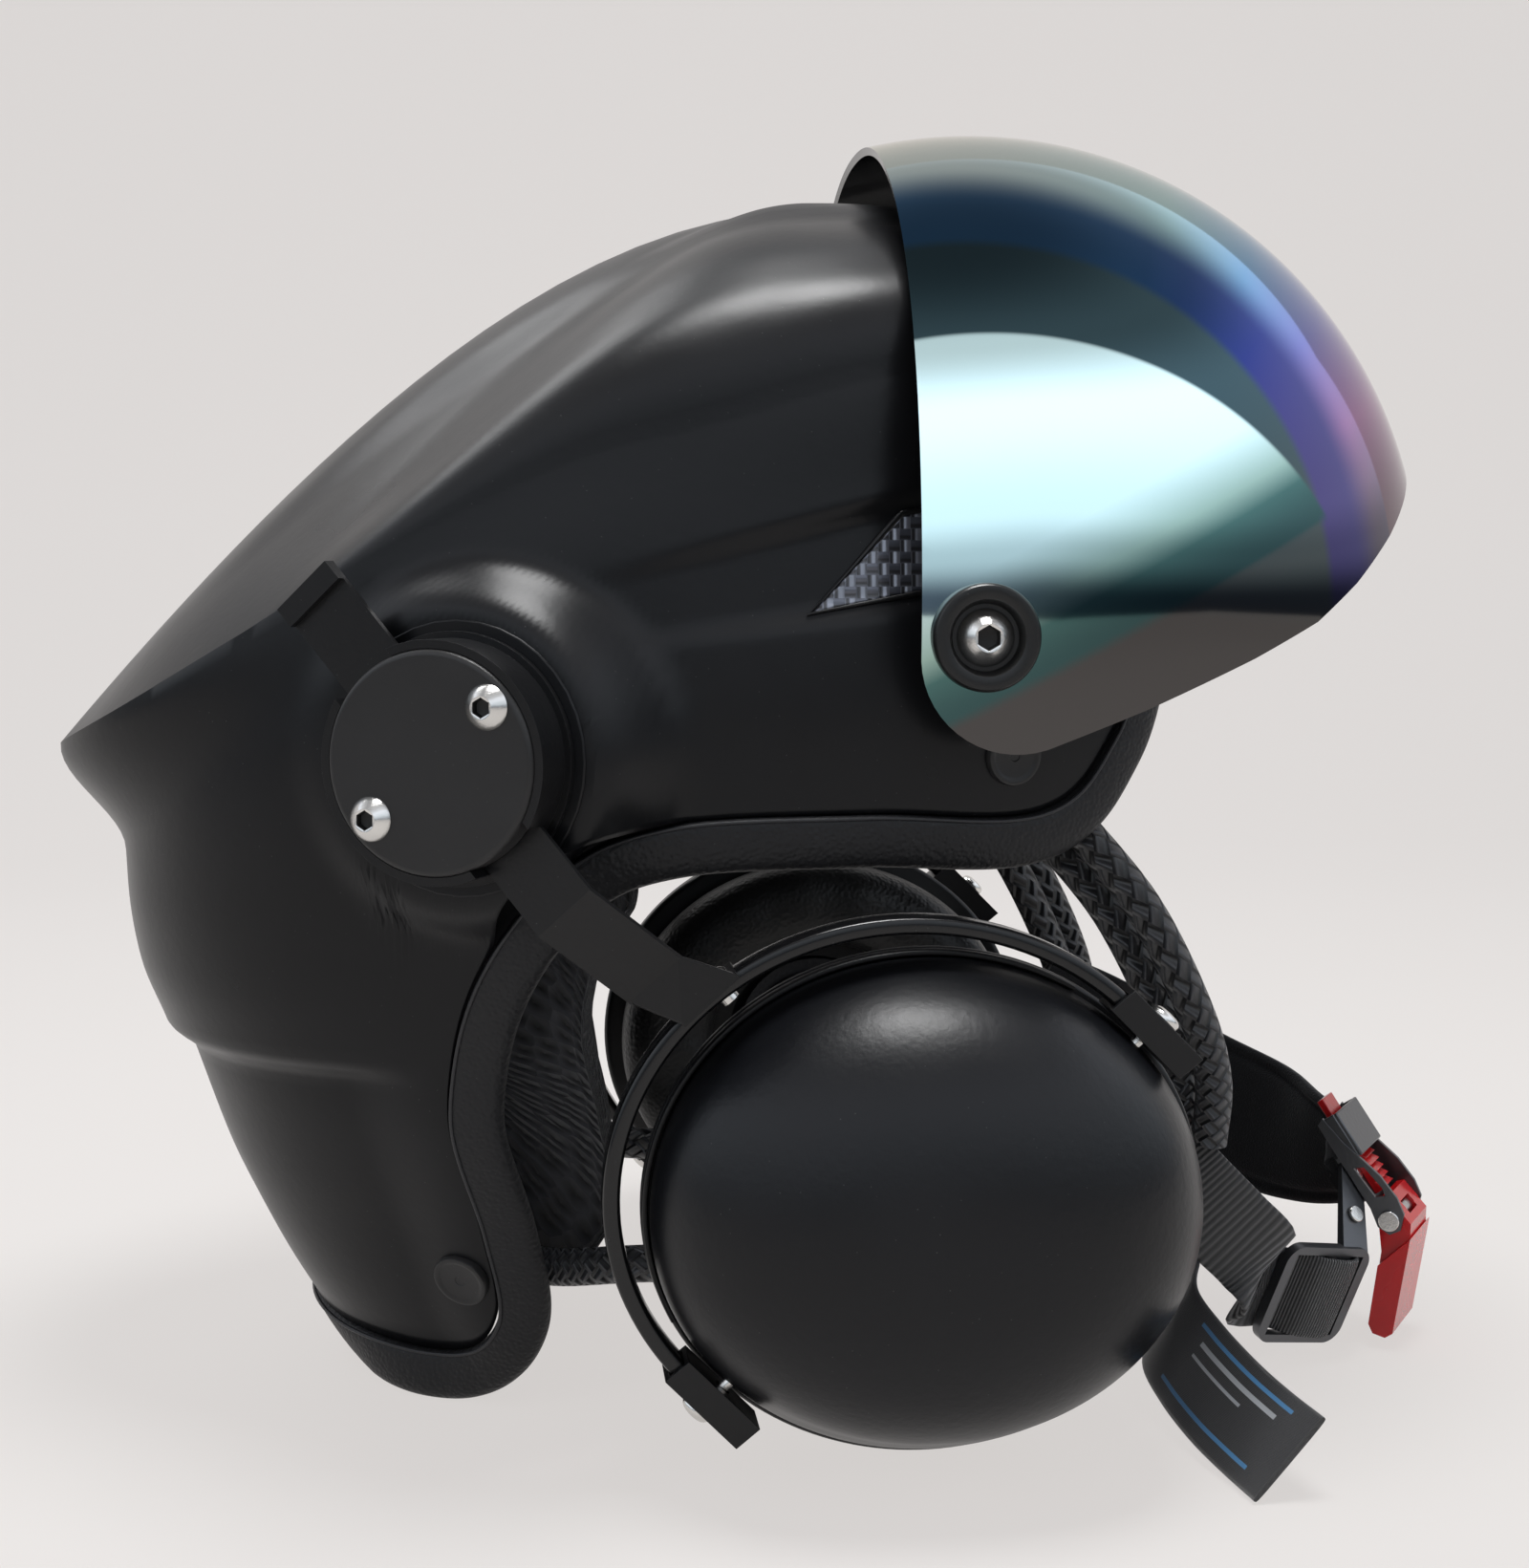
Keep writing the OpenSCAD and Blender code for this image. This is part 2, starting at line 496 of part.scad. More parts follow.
module mount_cover() {
    color("#1b1c1e") at_mount() difference() {
        union() {
            translate([0, 0, cover_z]) cylinder(d = cover_d, h = mount_h - cover_z - 0.8);
            translate([0, 0, mount_h - 0.8]) cylinder(d1 = cover_d, d2 = cover_d - 1.6, h = 0.8);
        }
        mount_screw_at() translate([0, 0, cover_z - 1]) cylinder(d = mount_screw_d + 0.5, h = mount_h);
    }
}
module mount_screws() {
    color("#c9ccd0") at_mount() translate([0, 0, mount_h]) mount_screw_at()
        button_screw(mount_screw_d, 9.6, 2.8, mount_h - 2, 3.6);
}

// Arm: straight through the mount, bent in to the yoke, with a tab folded on to the yoke
arm_bend_at = 42;
arm_bend = 35.5;
arm_reach = 27;
tab_w = 15;
tab_l = 16;
tab_side = 3;
bend_in = 0.25;
arm_side = [[-arm_up, 0], [-arm_up, 2 * arm_t + 0.6], [5 - arm_up, 2 * arm_t + 0.6], [5 - arm_up, arm_t],
    [arm_bend_at, arm_t], [arm_bend_at + arm_reach * cos(arm_bend), arm_t - arm_reach * sin(arm_bend)],
    [arm_bend_at + arm_reach * cos(arm_bend) - arm_t * sin(arm_bend),
    arm_t - arm_reach * sin(arm_bend) - arm_t * cos(arm_bend)], [arm_bend_at - arm_t * tan(arm_bend / 2), 0]];
lip_r = cup_r + 1.8;
foot_r = lip_r - 0.4;
cup_c = [cup_x, -cup_y, foot_r];
yoke_in = cup_r + yoke_gap;
yoke_out = yoke_in + yoke_t;
yoke_y = 5;
yoke_mid = yoke_y + yoke_w / 2;
swivel_angle = tilt_angle + 90;
tab_r = yoke_out + yoke_lead + run;
// Frame of the cup: X along a direction in the cup's plane, Z out of the cup
module at_cup(angle = 0) {
    translate(cup_c) rotate([90, 0, 0]) rotate(angle) children();
}
// Solid between two four-cornered faces
module link(a, b) {
    polyhedron(concat(a, b), [[0, 1, 2], [0, 2, 3], [4, 6, 5], [4, 7, 6], [0, 4, 5], [0, 5, 1],
        [1, 5, 6], [1, 6, 2], [2, 6, 7], [2, 7, 3], [3, 7, 4], [3, 4, 0]]);
}
module arm() {
    color("#1a1b1c") {
        at_mount() rotate(-arm_slope) {
            translate([0, arm_w / 2, slot_z + run]) rotate([90, 0, 0]) linear_extrude(arm_w) polygon(arm_side);
        }
        hull() {
            at_mount() rotate(-arm_slope) translate([arm_bend_at, 0, slot_z + run + arm_t]) rotate([0, arm_bend, 0])
                translate([arm_reach - 1, -arm_w / 2 + bend_in, -arm_t + bend_in]) cube([1.5, arm_w - 2 * bend_in, arm_t - 2 * bend_in]);
            at_cup(swivel_angle) translate([tab_r + bend_in, tab_side - tab_l / 2 + bend_in, yoke_mid + tab_w / 2 - 1])
                cube([arm_t - 2 * bend_in, tab_l - 2 * bend_in, 1.5]);
        }
        difference() {
            at_cup(swivel_angle) translate([tab_r, tab_side - tab_l / 2, yoke_mid - tab_w / 2]) cube([arm_t, tab_l, tab_w]);
            at_cup(swivel_angle) translate([0, 0, yoke_mid]) rotate([0, 90, 0]) cylinder(d = 4 + 2 * run, h = 2 * cup_r);
        }
    }
}
// Screw of the arm's tab: the yoke turns about it
module arm_screw() {
    color("#c9ccd0") at_cup(swivel_angle) translate([tab_r + arm_t + run, 0, yoke_mid])
        rotate([0, 90, 0]) button_screw(4, 7.4, 2.2, arm_t + run + yoke_t, 2.6);
}

// Yoke: half ring with two straight legs round the cup, and a screw block on each leg
clip_l = 22;
clip_w = 12;
clip_r0 = cup_r + 0.5;
clip_r1 = yoke_out + 1.4;
leg_end = 8;
module yoke() {
    color("#0c0d0e") at_cup(swivel_angle) difference() {
        union() {
            translate([yoke_lead, 0, yoke_y]) rotate(-90) rotate_extrude(angle = 180) translate([yoke_in, 0]) square([yoke_t, yoke_w]);
            for (s = [-1, 1]) translate([-leg_end, s * (yoke_in + yoke_t / 2) - yoke_t / 2, yoke_y])
                cube([leg_end + yoke_lead, yoke_t, yoke_w]);
        }
        translate([0, 0, yoke_mid]) rotate([0, 90, 0]) cylinder(d = 4.04, h = 2 * cup_r);
        translate([0, 0, yoke_mid]) rotate([90, 0, 0]) cylinder(d = 4 + 2 * run, h = 4 * cup_r, center = true);
    }
}
module yoke_clips() {
    color("#1d1e20") at_cup(swivel_angle) for (s = [-1, 1]) difference() {
        translate([-clip_l / 2, s * (clip_r0 + clip_r1) / 2 - (clip_r1 - clip_r0) / 2, yoke_mid - clip_w / 2])
            cube([clip_l, clip_r1 - clip_r0, clip_w]);
        translate([-leg_end - 0.05, s * (yoke_in + yoke_t / 2) - yoke_t / 2 - 0.05, yoke_y - 0.05])
            cube([clip_l, yoke_t + 0.1, yoke_w + 0.1]);
        translate([0, 0, yoke_mid]) rotate([90, 0, 0]) cylinder(d = 4 + 2 * run, h = 4 * cup_r, center = true);
    }
}
tilt_reach = 5;
module tilt_screws() {
    color("#c9ccd0") at_cup(swivel_angle) for (s = [-1, 1]) translate([0, s * (clip_r1 + run), yoke_mid]) rotate([-90 * s, 0, 0])
        button_screw(4, 7.4, 2.2, clip_r1 + run - cup_r + tilt_reach, 2.6);
}

// Ear cup
cup_square = 2.35;
function dome(r, h, n) = [for (i = [0:n]) let (a = 90 * i / n)
    [r * pow(cos(a), 2 / cup_square), h * pow(sin(a), 2 / cup_square)]];
module cup_shell() {
    color("#151618") at_cup() difference() {
        rotate_extrude($fn = 96) polygon(concat(dome(cup_r, cup_depth, 14),
            [for (i = [14:-1:0]) dome(cup_r - cup_wall, cup_depth - cup_wall, 14)[i]]));
        rotate(tilt_angle) translate([0, 0, yoke_mid]) rotate([0, 90, 0]) cylinder(d = 4.04, h = 4 * cup_r, center = true);
    }
}
// Base plate that closes the cup, with a raised lip under the yoke and a flat foot
base_t = 4;
speaker_r = 23.8;
module cup_base() {
    color("#1a1b1d") at_cup() difference() {
        union() {
            rotate_extrude($fn = 96) polygon([[speaker_r + 0.1, -base_t], [lip_r - 1, -base_t], [lip_r, -base_t + 1],
                [lip_r, -1], [lip_r - 1, 0], [speaker_r + 0.1, 0]]);
            rotate(tilt_angle + 16) rotate_extrude(angle = 148) translate([cup_r + 0.2, -0.5]) square([1.5, 3.1]);
        }
        translate([-cup_r, -foot_r - 10, -cup_r]) cube([2 * cup_r, 10, 2 * cup_r]);
    }
}
cushion_r = 56;
cushion_hole = 30;
module cup_cushion() {
    color("#0e0f10") at_cup() translate([0, 0, -base_t]) rotate_extrude($fn = 96) polygon(concat(
        [[cushion_hole, 0]],
        [for (a = [180:-22.5:0]) [(cushion_r + cushion_hole) / 2 + (cushion_r - cushion_hole) / 2 * cos(a),
            -cushion_t * (0.45 + 0.55 * sin(a))]], [[cushion_r, 0]]));
}
module cup_foam() {
    color("#3a3b3e") at_cup() cylinder(r1 = cup_r - cup_wall - 4, r2 = cup_r * 0.62, h = cup_depth * 0.62);
}
module speaker() {
    color("#202124") at_cup() {
        translate([0, 0, -base_t]) cylinder(r = speaker_r, h = base_t - 0.1);
        translate([0, 0, -base_t - 2]) cylinder(r = speaker_r - 4, h = 2.2);
    }
}

// Chin strap harness. Routes are hand-chosen points
front_path = [[61, -68.5, 152], [67, -69.5, 144], [84, -71.5, 123], [97, -71, 98], [102.5, -69.5, 80], [102, -68, 64]];
sleeve_shift = [-6.5, 7.6, -2];
rear_path = [[-69.6, -58, 37.4], [-62, -60.5, 36.4], [-54, -62, 36], [-40, -62.5, 36.5], [-15, -59.5, 36],
    [20, -60, 40], [50, -61, 52], [74, -60.4, 63], [90.2, -60.4, 66]];
function up_all(path, v) = [for (p = path) v];
function shifted(path, v) = [for (p = path) p + v];
module tube(path, d, k) {
    run_pts = smooth_run(path, k);
    sweep(run_pts, up_all(run_pts, [0.1, 1, 0.05]), [for (p = run_pts) ring_outline(d / 2, 8)]);
}
module front_sleeves() {
    color("#1c1d1f") both() {
        tube(front_path, sleeve_d, 2);
        tube(shifted(front_path, sleeve_shift), sleeve_d, 2);
    }
}
module rear_sleeves() {
    color("#1c1d1f") both() tube(rear_path, sleeve_d, 2);
}
module strap_rivets() {
    color("#9a9da1") both() {
        translate([56, -55.5, 148.4]) rotate([90, 0, 0]) cylinder(d = 8, h = 1.6, center = true);
        translate([-66.1, -53.5, 37]) rotate([90, 0, -18]) cylinder(d = 8, h = 1.6, center = true);
    }
}

// Frame at the end of the side webbing: X across the bars, Y along them, Z towards the wearer
frame_c = [137, -44, 18];
frame_x = unit([0.87, 0.45, -0.18]);
frame_y0 = [-0.46, 0.1, -0.88];
frame_y = unit(frame_y0 - frame_x * (frame_x * frame_y0));
frame_z = cross(frame_x, frame_y);
frame_l = 30;
frame_h = web_w + 5;
frame_t = 2.6;
bar_x = [[-frame_l / 2 + 3, 2], [frame_l / 2 - 7.4, frame_l / 2 - 3]];
function on_frame(a, b, h) = frame_c + a * frame_x + b * frame_y + h * frame_z;
module in_frame(c, x, y, z) {
    multmatrix([[x[0], y[0], z[0], c[0]], [x[1], y[1], z[1], c[1]], [x[2], y[2], z[2], c[2]], [0, 0, 0, 1]]) children();
}
module round_plate(l, h, r, t) {
    translate([0, 0, -t / 2]) linear_extrude(t) union() {
        square([l - 2 * r, h], center = true);
        square([l, h - 2 * r], center = true);
        for (x = [-1, 1], y = [-1, 1]) translate([x * (l / 2 - r), y * (h / 2 - r)]) circle(r);
    }
}

// Buckle: X down the ladder, Y along the pin, Z away from the wearer
buckle_c = [160, -24, 43];
buckle_x = unit([0.48, -0.3, -0.82]);
buckle_y0 = [0.45, 0.88, 0.16];
buckle_y = unit(buckle_y0 - buckle_x * (buckle_x * buckle_y0));
buckle_z = cross(buckle_x, buckle_y);
function on_buckle(a, b, h) = buckle_c + a * buckle_x + b * buckle_y + h * buckle_z;
module at_buckle() {
    in_frame(buckle_c, buckle_x, buckle_y, buckle_z) children();
}
// Shape in the plane across the pin, spread along the pin
module across_pin(w) {
    rotate([90, 0, 0]) linear_extrude(height = w, center = true) children();
}
plate_t = 1.2;
floor_z = -0.4;
base_x = [-9, 3];
pin_at = [11, 1];
rivet_y = 6.6;
pin_d = 3;
cheek = [[-19, floor_z - plate_t], [-20, 0.5], [-12, 1.8], [-6, 3.7], [0, 5.4], [7, 6], [11.5, 5.2], [14.6, 2], [14.2, -1], [11, -2.6], [6, floor_z - plate_t]];
// Frame, neck and base plate bent from one piece
module buckle_frame() {
    low = floor_z - plate_t;
    a = [on_frame(13, -frame_h / 2 + 1, frame_t / 2), on_frame(4, -frame_h / 2 + 1, frame_t / 2),
        on_frame(4, -frame_h / 2 + 1, -frame_t / 2), on_frame(13, -frame_h / 2 + 1, -frame_t / 2)];
    b = [on_buckle(base_x[1] - 0.5, -buckle_w / 2 + 1.2, low - plate_t), on_buckle(base_x[0] + 1, -buckle_w / 2 + 1.2, low - plate_t),
        on_buckle(base_x[0] + 1, -buckle_w / 2 + 1.2, low), on_buckle(base_x[1] - 0.5, -buckle_w / 2 + 1.2, low)];
    color("#55585c") {
        in_frame(frame_c, frame_x, frame_y, frame_z) difference() {
            round_plate(frame_l, frame_h, 5, frame_t);
            for (s = bar_x) translate([s[0], -frame_h / 2 + 2.3, -5]) cube([s[1] - s[0], frame_h - 4.6, 10]);
        }
        link(a, b);
        at_buckle() translate([base_x[0], -buckle_w / 2 + 1, low - plate_t]) cube([base_x[1] - base_x[0], buckle_w - 2, plate_t]);
    }
}
module buckle_body() {
    color("#55585c") at_buckle() difference() {
        union() {
            for (s = [-1, 1]) translate([0, s * (buckle_w - plate_t) / 2, 0]) across_pin(plate_t) polygon(cheek);
            translate([cheek[0][0], -buckle_w / 2, floor_z - plate_t]) cube([cheek[10][0] - cheek[0][0], buckle_w, plate_t]);
        }
        translate([0, -buckle_w / 2, 0]) across_pin(3) polygon([[-5, 0.4], [-4, 2.9], [3, 4.1], [5, 3.6], [4, 1.2]]);
        translate([pin_at[0], 0, pin_at[1]]) rotate([90, 0, 0]) cylinder(d = pin_d + 0.04, h = 2 * buckle_w, center = true);
        for (s = [-1, 1]) translate([-3, s * rivet_y, -5]) cylinder(d = 3.04, h = 10);
    }
}
module buckle_rivets() {
    low = floor_z - 2 * plate_t;
    mid = (on_frame(8.5, -frame_h / 2 + 1, -frame_t / 2) + on_buckle((base_x[0] + base_x[1]) / 2, -buckle_w / 2 + 1.2, low + plate_t)) / 2;
    out = unit(cross(on_frame(13, 0, 0) - on_frame(4, 0, 0),
        on_buckle(-3, -buckle_w / 2, low) - on_frame(8.5, -frame_h / 2, 0)));
    color("#9a9da1") {
        at_buckle() for (s = [-1, 1]) translate([-3, s * rivet_y, low + plate_t]) cylinder(d = 3, h = plate_t + 0.3);
        aim(mid + out * 0.2, out) cylinder(d = 4.4, h = 1);
    }
}
tooth = 2.2;
module ladder() {
    teeth = floor((ladder_l - 4) / tooth);
    color("#c4161c") at_buckle() across_pin(9.6) polygon(concat([[4, floor_z], [4, 1.4]],
        [for (i = [0:teeth - 1]) each [[3.6 - i * tooth, 3], [3.6 - (i + 1) * tooth, 1.4]]],
        [[4 - ladder_l, 1.4], [4 - ladder_l, floor_z]]));
}
thumb = [[9, 4.2], [14.5, 5], [20.5, 0.6], [36.5, -14.6], [36.5, -17], [34, -19.2], [31.4, -18.8], [17, -5.8], [11, -2.6]];
nose = [[5, 1.8], [5.6, 3.8], [11, 4.6], [11, 0], [6.6, 1.6]];
lever_w = buckle_w - 2 * plate_t - 0.4;
spring_l = 8;
module buckle_lever() {
    color("#c4161c") at_buckle() difference() {
        union() {
            across_pin(lever_w) union() {
                polygon(thumb);
                polygon(nose);
            }
            translate([pin_at[0], 0, pin_at[1]]) rotate([90, 0, 0]) cylinder(r = 3.6, h = lever_w, center = true);
            across_pin(buckle_w + 2) polygon([[19.5, -8], [17.6, 3.3], [20.5, 0.6], [36.5, -14.6], [36.5, -17], [34, -19.2], [31.4, -18.8]]);
        }
        translate([pin_at[0], 0, pin_at[1]]) rotate([90, 0, 0]) {
            cylinder(d = pin_d + 2 * run, h = 2 * buckle_w, center = true);
            cylinder(r = 4, h = spring_l + 0.6, center = true);
        }
    }
}
module lever_pin() {
    color("#9a9da1") at_buckle() translate([pin_at[0], 0, pin_at[1]]) rotate([90, 0, 0]) {
        cylinder(d = pin_d, h = buckle_w, center = true);
        for (s = [-1, 1]) translate([0, 0, s * (buckle_w / 2 + 0.5)]) cylinder(d = 5.4, h = 1, center = true);
    }
}
module lever_spring() {
    color("#b0b3b7") at_buckle() translate([pin_at[0], 0, pin_at[1]]) rotate([90, 0, 0]) rotate_extrude()
        translate([pin_d / 2 + 0.1, -spring_l / 2]) square([1.2, spring_l]);
}

// Webbing: from the sleeves, under the frame's first bar, over the second and back
web_route = [[93, -66, 58], [100, -65.5, 50.5], [109, -63, 41.5], [119, -58, 31]];
web_in = [[-19, 3], [-13.5, 2.9], [-8.4, 1.7], [-3.4, -1.5], [2, -2.7], [7.6, -2.6], [10.4, -0.2], [8.6, 2.5], [3, 2.9], [-0.5, 3]];
web_across = [-0.45, 0.15, -0.85];
function web_ups(n, k) = [for (s = [0:n]) let (f = ease((s - 5) / k)) mix(web_across, frame_y, f)];
module side_webbing() {
    run_pts = smooth_run(concat(web_route, [for (q = web_in) on_frame(q[0], 0, q[1])]), 2);
    color("#1b1c1e") sweep(run_pts, web_ups(len(run_pts) - 1, 4), [for (p = run_pts) strap_outline(web_w, web_t)]);
}
chin_path = [[84, 53.2, 78], [96, 51.2, 71], [109, 47, 63.5], [129, 35, 53], [143, 18.5, 47.3], [151.5, 4, 44.5],
    on_buckle(-5.5, 12.5, -7.4), on_buckle(-4, 3, -5.5), on_buckle(-3, -7, -5.5)];
chin_share = [0.84, 0.95, 1, 1, 0.97, 0.84, 0.66, 0.5, 0.36];
chin_across = [-0.36, 0.05, -0.93];
module chin_strap() {
    run_pts = smooth_run(chin_path, 3);
    shares = smooth_run(chin_share, 3);
    color("#121314") sweep(run_pts, [for (i = [0:len(run_pts) - 1]) mix(chin_across, buckle_x, ease((i - 11) / 9))],
        [for (s = shares) strap_outline(chin_w * s, chin_t)]);
}
label_path = [[97.4, -56.6, 23], [92.8, -70, 18.5], [93.5, -86, 15], [96, -104, 12], [99, -120, 10.2], [101.5, -135, 9.6]];
label_across = [[-0.49, 0, -0.87], [-0.565, -0.457, -0.69]];
module label_loop() {
    run_pts = smooth_run(label_path, 3);
    color("#101114") sweep(run_pts, [for (i = [0:len(run_pts) - 1]) mix(label_across[0], label_across[1], ease(i / 12))], [for (p = run_pts) strap_outline(24, 1.6)]);
}

shell();
foam_liner();
comfort_liner();
edge_trim();
vent_grilles();
strap_plugs();
visor();
visor_washers();
visor_bases();
visor_screws();
arm_bosses();
mount_pivots();
mount_body();  // mount_body_r
mount_cover();  // mount_cover_r
mount_screws();  // mount_screws_r
arm();  // arm_r
yoke();  // yoke_r
yoke_clips();  // yoke_clips_r
arm_screw();  // arm_screw_r
tilt_screws();  // tilt_screws_r
cup_shell();  // cup_shell_r
cup_base();  // cup_base_r
cup_cushion();  // cup_cushion_r
cup_foam();  // cup_foam_r
speaker();  // speaker_r
mirrored() mount_body();  // mount_body_l
mirrored() mount_cover();  // mount_cover_l
mirrored() mount_screws();  // mount_screws_l
mirrored() arm();  // arm_l
mirrored() yoke();  // yoke_l
mirrored() yoke_clips();  // yoke_clips_l
mirrored() arm_screw();  // arm_screw_l
mirrored() tilt_screws();  // tilt_screws_l
mirrored() cup_shell();  // cup_shell_l
mirrored() cup_base();  // cup_base_l
mirrored() cup_cushion();  // cup_cushion_l
mirrored() cup_foam();  // cup_foam_l
mirrored() speaker();  // speaker_l
front_sleeves();
rear_sleeves();
strap_rivets();
side_webbing();
buckle_frame();
chin_strap();
buckle_body();
buckle_rivets();
ladder();
buckle_lever();
lever_pin();
lever_spring();
label_loop();
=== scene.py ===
# Studio: a pale seamless paper sweep under even soft light, and the camera at the photograph's angle, low
# on the wearer's right side. The camera is fitted to the pivot washers, the cup and the shell.
import bpy
import bmesh
import math
from mathutils import Matrix, Vector


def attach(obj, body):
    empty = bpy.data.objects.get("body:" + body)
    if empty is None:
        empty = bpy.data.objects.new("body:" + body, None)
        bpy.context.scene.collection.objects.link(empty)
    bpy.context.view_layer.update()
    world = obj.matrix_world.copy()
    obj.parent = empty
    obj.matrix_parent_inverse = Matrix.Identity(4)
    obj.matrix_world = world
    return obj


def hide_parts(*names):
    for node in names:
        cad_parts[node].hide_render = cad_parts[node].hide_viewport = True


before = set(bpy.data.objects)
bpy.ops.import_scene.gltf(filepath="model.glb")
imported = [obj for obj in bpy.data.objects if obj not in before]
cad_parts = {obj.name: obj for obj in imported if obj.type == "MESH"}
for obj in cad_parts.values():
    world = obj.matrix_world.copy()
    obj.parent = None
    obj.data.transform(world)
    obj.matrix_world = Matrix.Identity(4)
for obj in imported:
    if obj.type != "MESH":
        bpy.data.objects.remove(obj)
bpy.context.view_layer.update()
scene = bpy.context.scene
scene.view_settings.view_transform = "Standard"
MM = 0.001
view_turn = math.radians(-6.0)
view_rise = math.radians(5.2)
view_back = Vector((math.sin(view_turn) * math.cos(view_rise), -math.cos(view_turn) * math.cos(view_rise),
                    math.sin(view_rise)))
view_target = Vector((0, 0, 0.147))
view_distance = 0.640
camera = bpy.data.objects.new("camera", bpy.data.cameras.new("camera"))
scene.collection.objects.link(camera)
camera.data.sensor_fit = "HORIZONTAL"
camera.data.sensor_width = 36
camera.data.lens = 56.88
camera.location = view_target + view_distance * view_back
camera.rotation_euler = view_back.to_track_quat("Z", "Y").to_euler()
scene.camera = camera


def add_node(tree, kind, sockets=None, **settings):
    node = tree.nodes.new("ShaderNode" + kind)
    for key, value in settings.items():
        setattr(node, key, value)
    for socket, value in (sockets or {}).items():
        if isinstance(value, bpy.types.NodeSocket):
            tree.links.new(value, node.inputs[socket])
        else:
            node.inputs[socket].default_value = value
    return node


def object_place(tree):
    return add_node(tree, "TexCoord").outputs["Object"]


def uv_place(tree):
    return add_node(tree, "UVMap").outputs["UV"]


def calc(kind, a, b=0.0):
    tree = b.id_data if isinstance(a, float) else a.id_data
    return add_node(tree, "Math", {0: a, 1: b}, operation=kind).outputs["Value"]


def mix_colours(share, a, b):
    a, b = [(*tone, 1) if isinstance(tone, tuple) else tone for tone in (a, b)]
    mixed = add_node(share.id_data, "Mix", {"Factor": share, "A": a, "B": b}, data_type="RGBA")
    return mixed.outputs["Result"]


def colour_steps(source, steps, style="LINEAR"):
    ramp = add_node(source.id_data, "ValToRGB", {"Fac": source})
    ramp.color_ramp.interpolation = style
    while len(ramp.color_ramp.elements) < len(steps):
        ramp.color_ramp.elements.new(0.5)
    for element, (place, colour) in zip(ramp.color_ramp.elements, steps):
        element.position = place
        element.color = (*colour, 1)
    return ramp.outputs["Color"]


def make_material(name, colour, rough, metallic=0.0, level=0.5, coat=0.0, sheen=0.0):
    made = bpy.data.materials.new(name)
    made.use_nodes = True
    shader = made.node_tree.nodes["Principled BSDF"]
    shader.inputs["Base Color"].default_value = (*colour, 1)
    shader.inputs["Roughness"].default_value = rough
    shader.inputs["Metallic"].default_value = metallic
    shader.inputs["Specular IOR Level"].default_value = level
    shader.inputs["Coat Weight"].default_value = coat
    shader.inputs["Coat Roughness"].default_value = 0.1
    shader.inputs["Sheen Weight"].default_value = sheen
    return made


def feed(made, socket, source):
    made.node_tree.links.new(source, made.node_tree.nodes["Principled BSDF"].inputs[socket])


def make_object(name, bm, material):
    for face in bm.faces:
        face.smooth = True
    mesh = bpy.data.meshes.new(name)
    bm.to_mesh(mesh)
    bm.free()
    made = bpy.data.objects.new(name, mesh)
    made.data.materials.append(material)
    scene.collection.objects.link(made)
    return made


floor_paint = make_material("floor_paper", (0.60, 0.59, 0.575), 0.9, level=0.1)
floor_tree = floor_paint.node_tree
floor_place = object_place(floor_tree)
floor_noise = add_node(floor_tree, "TexNoise", {"Vector": floor_place, "Scale": 3.0})
feed(floor_paint, "Base Color",
     colour_steps(floor_noise.outputs["Fac"], [(0.3, (0.59, 0.58, 0.565)), (0.7, (0.61, 0.60, 0.59))]))
floor_glow = add_node(floor_tree, "Emission", {"Color": (0.84, 0.805, 0.785, 1)})
floor_ray = add_node(floor_tree, "LightPath")
floor_seen = calc("MAXIMUM", floor_ray.outputs["Is Camera Ray"], floor_ray.outputs["Is Glossy Ray"])
floor_seen = calc("MAXIMUM", floor_seen, floor_ray.outputs["Is Transmission Ray"])
glow_share = 0.76
floor_mix = add_node(floor_tree, "MixShader", {
    "Fac": calc("MULTIPLY", floor_seen, glow_share),
    1: floor_tree.nodes["Principled BSDF"].outputs["BSDF"],
    2: floor_glow.outputs["Emission"]})
floor_tree.links.new(floor_mix.outputs["Shader"], floor_tree.nodes["Material Output"].inputs["Surface"])
floor_half = 4.0
bend_start = 1.0
bend_radius = 0.9
sweep_bm = bmesh.new()
bmesh.ops.create_grid(sweep_bm, x_segments=2, y_segments=60, size=floor_half)
for vert in sweep_bm.verts:
    run = vert.co.y - bend_start
    if run > 0:
        turn = min(run / bend_radius, math.pi / 2)
        vert.co.y = bend_start + bend_radius * math.sin(turn)
        vert.co.z = bend_radius * (1 - math.cos(turn)) + max(0.0, run - bend_radius * math.pi / 2)
floor_sweep = make_object("floor_sweep", sweep_bm, floor_paint)

world = bpy.data.worlds.new("studio_air")
scene.world = world
world.use_nodes = True
air_tree = world.node_tree
air_ray = add_node(air_tree, "LightPath")
air_place = add_node(air_tree, "TexCoord").outputs["Generated"]
air_height = add_node(air_tree, "SeparateXYZ", {"Vector": air_place}).outputs["Z"]
air_mirrored = colour_steps(air_height, [
    (0.0, (0.12, 0.14, 0.19)), (0.12, (0.85, 0.95, 1.05)), (0.25, (1.5, 1.65, 1.8)), (0.60, (2.0, 2.1, 2.3)),
    (0.80, (1.0, 1.02, 1.06)), (1.0, (0.30, 0.30, 0.32))], "EASE")
air_colour = mix_colours(air_ray.outputs["Is Glossy Ray"], (0.52, 0.54, 0.60), air_mirrored)
air_colour = mix_colours(air_ray.outputs["Is Camera Ray"], air_colour, (1.16, 1.12, 1.10))
air_tree.links.new(air_colour, air_tree.nodes["Background"].inputs["Color"])
air_tree.nodes["Background"].inputs["Strength"].default_value = 0.62
lamp_target = Vector((0, 0, 0.12))
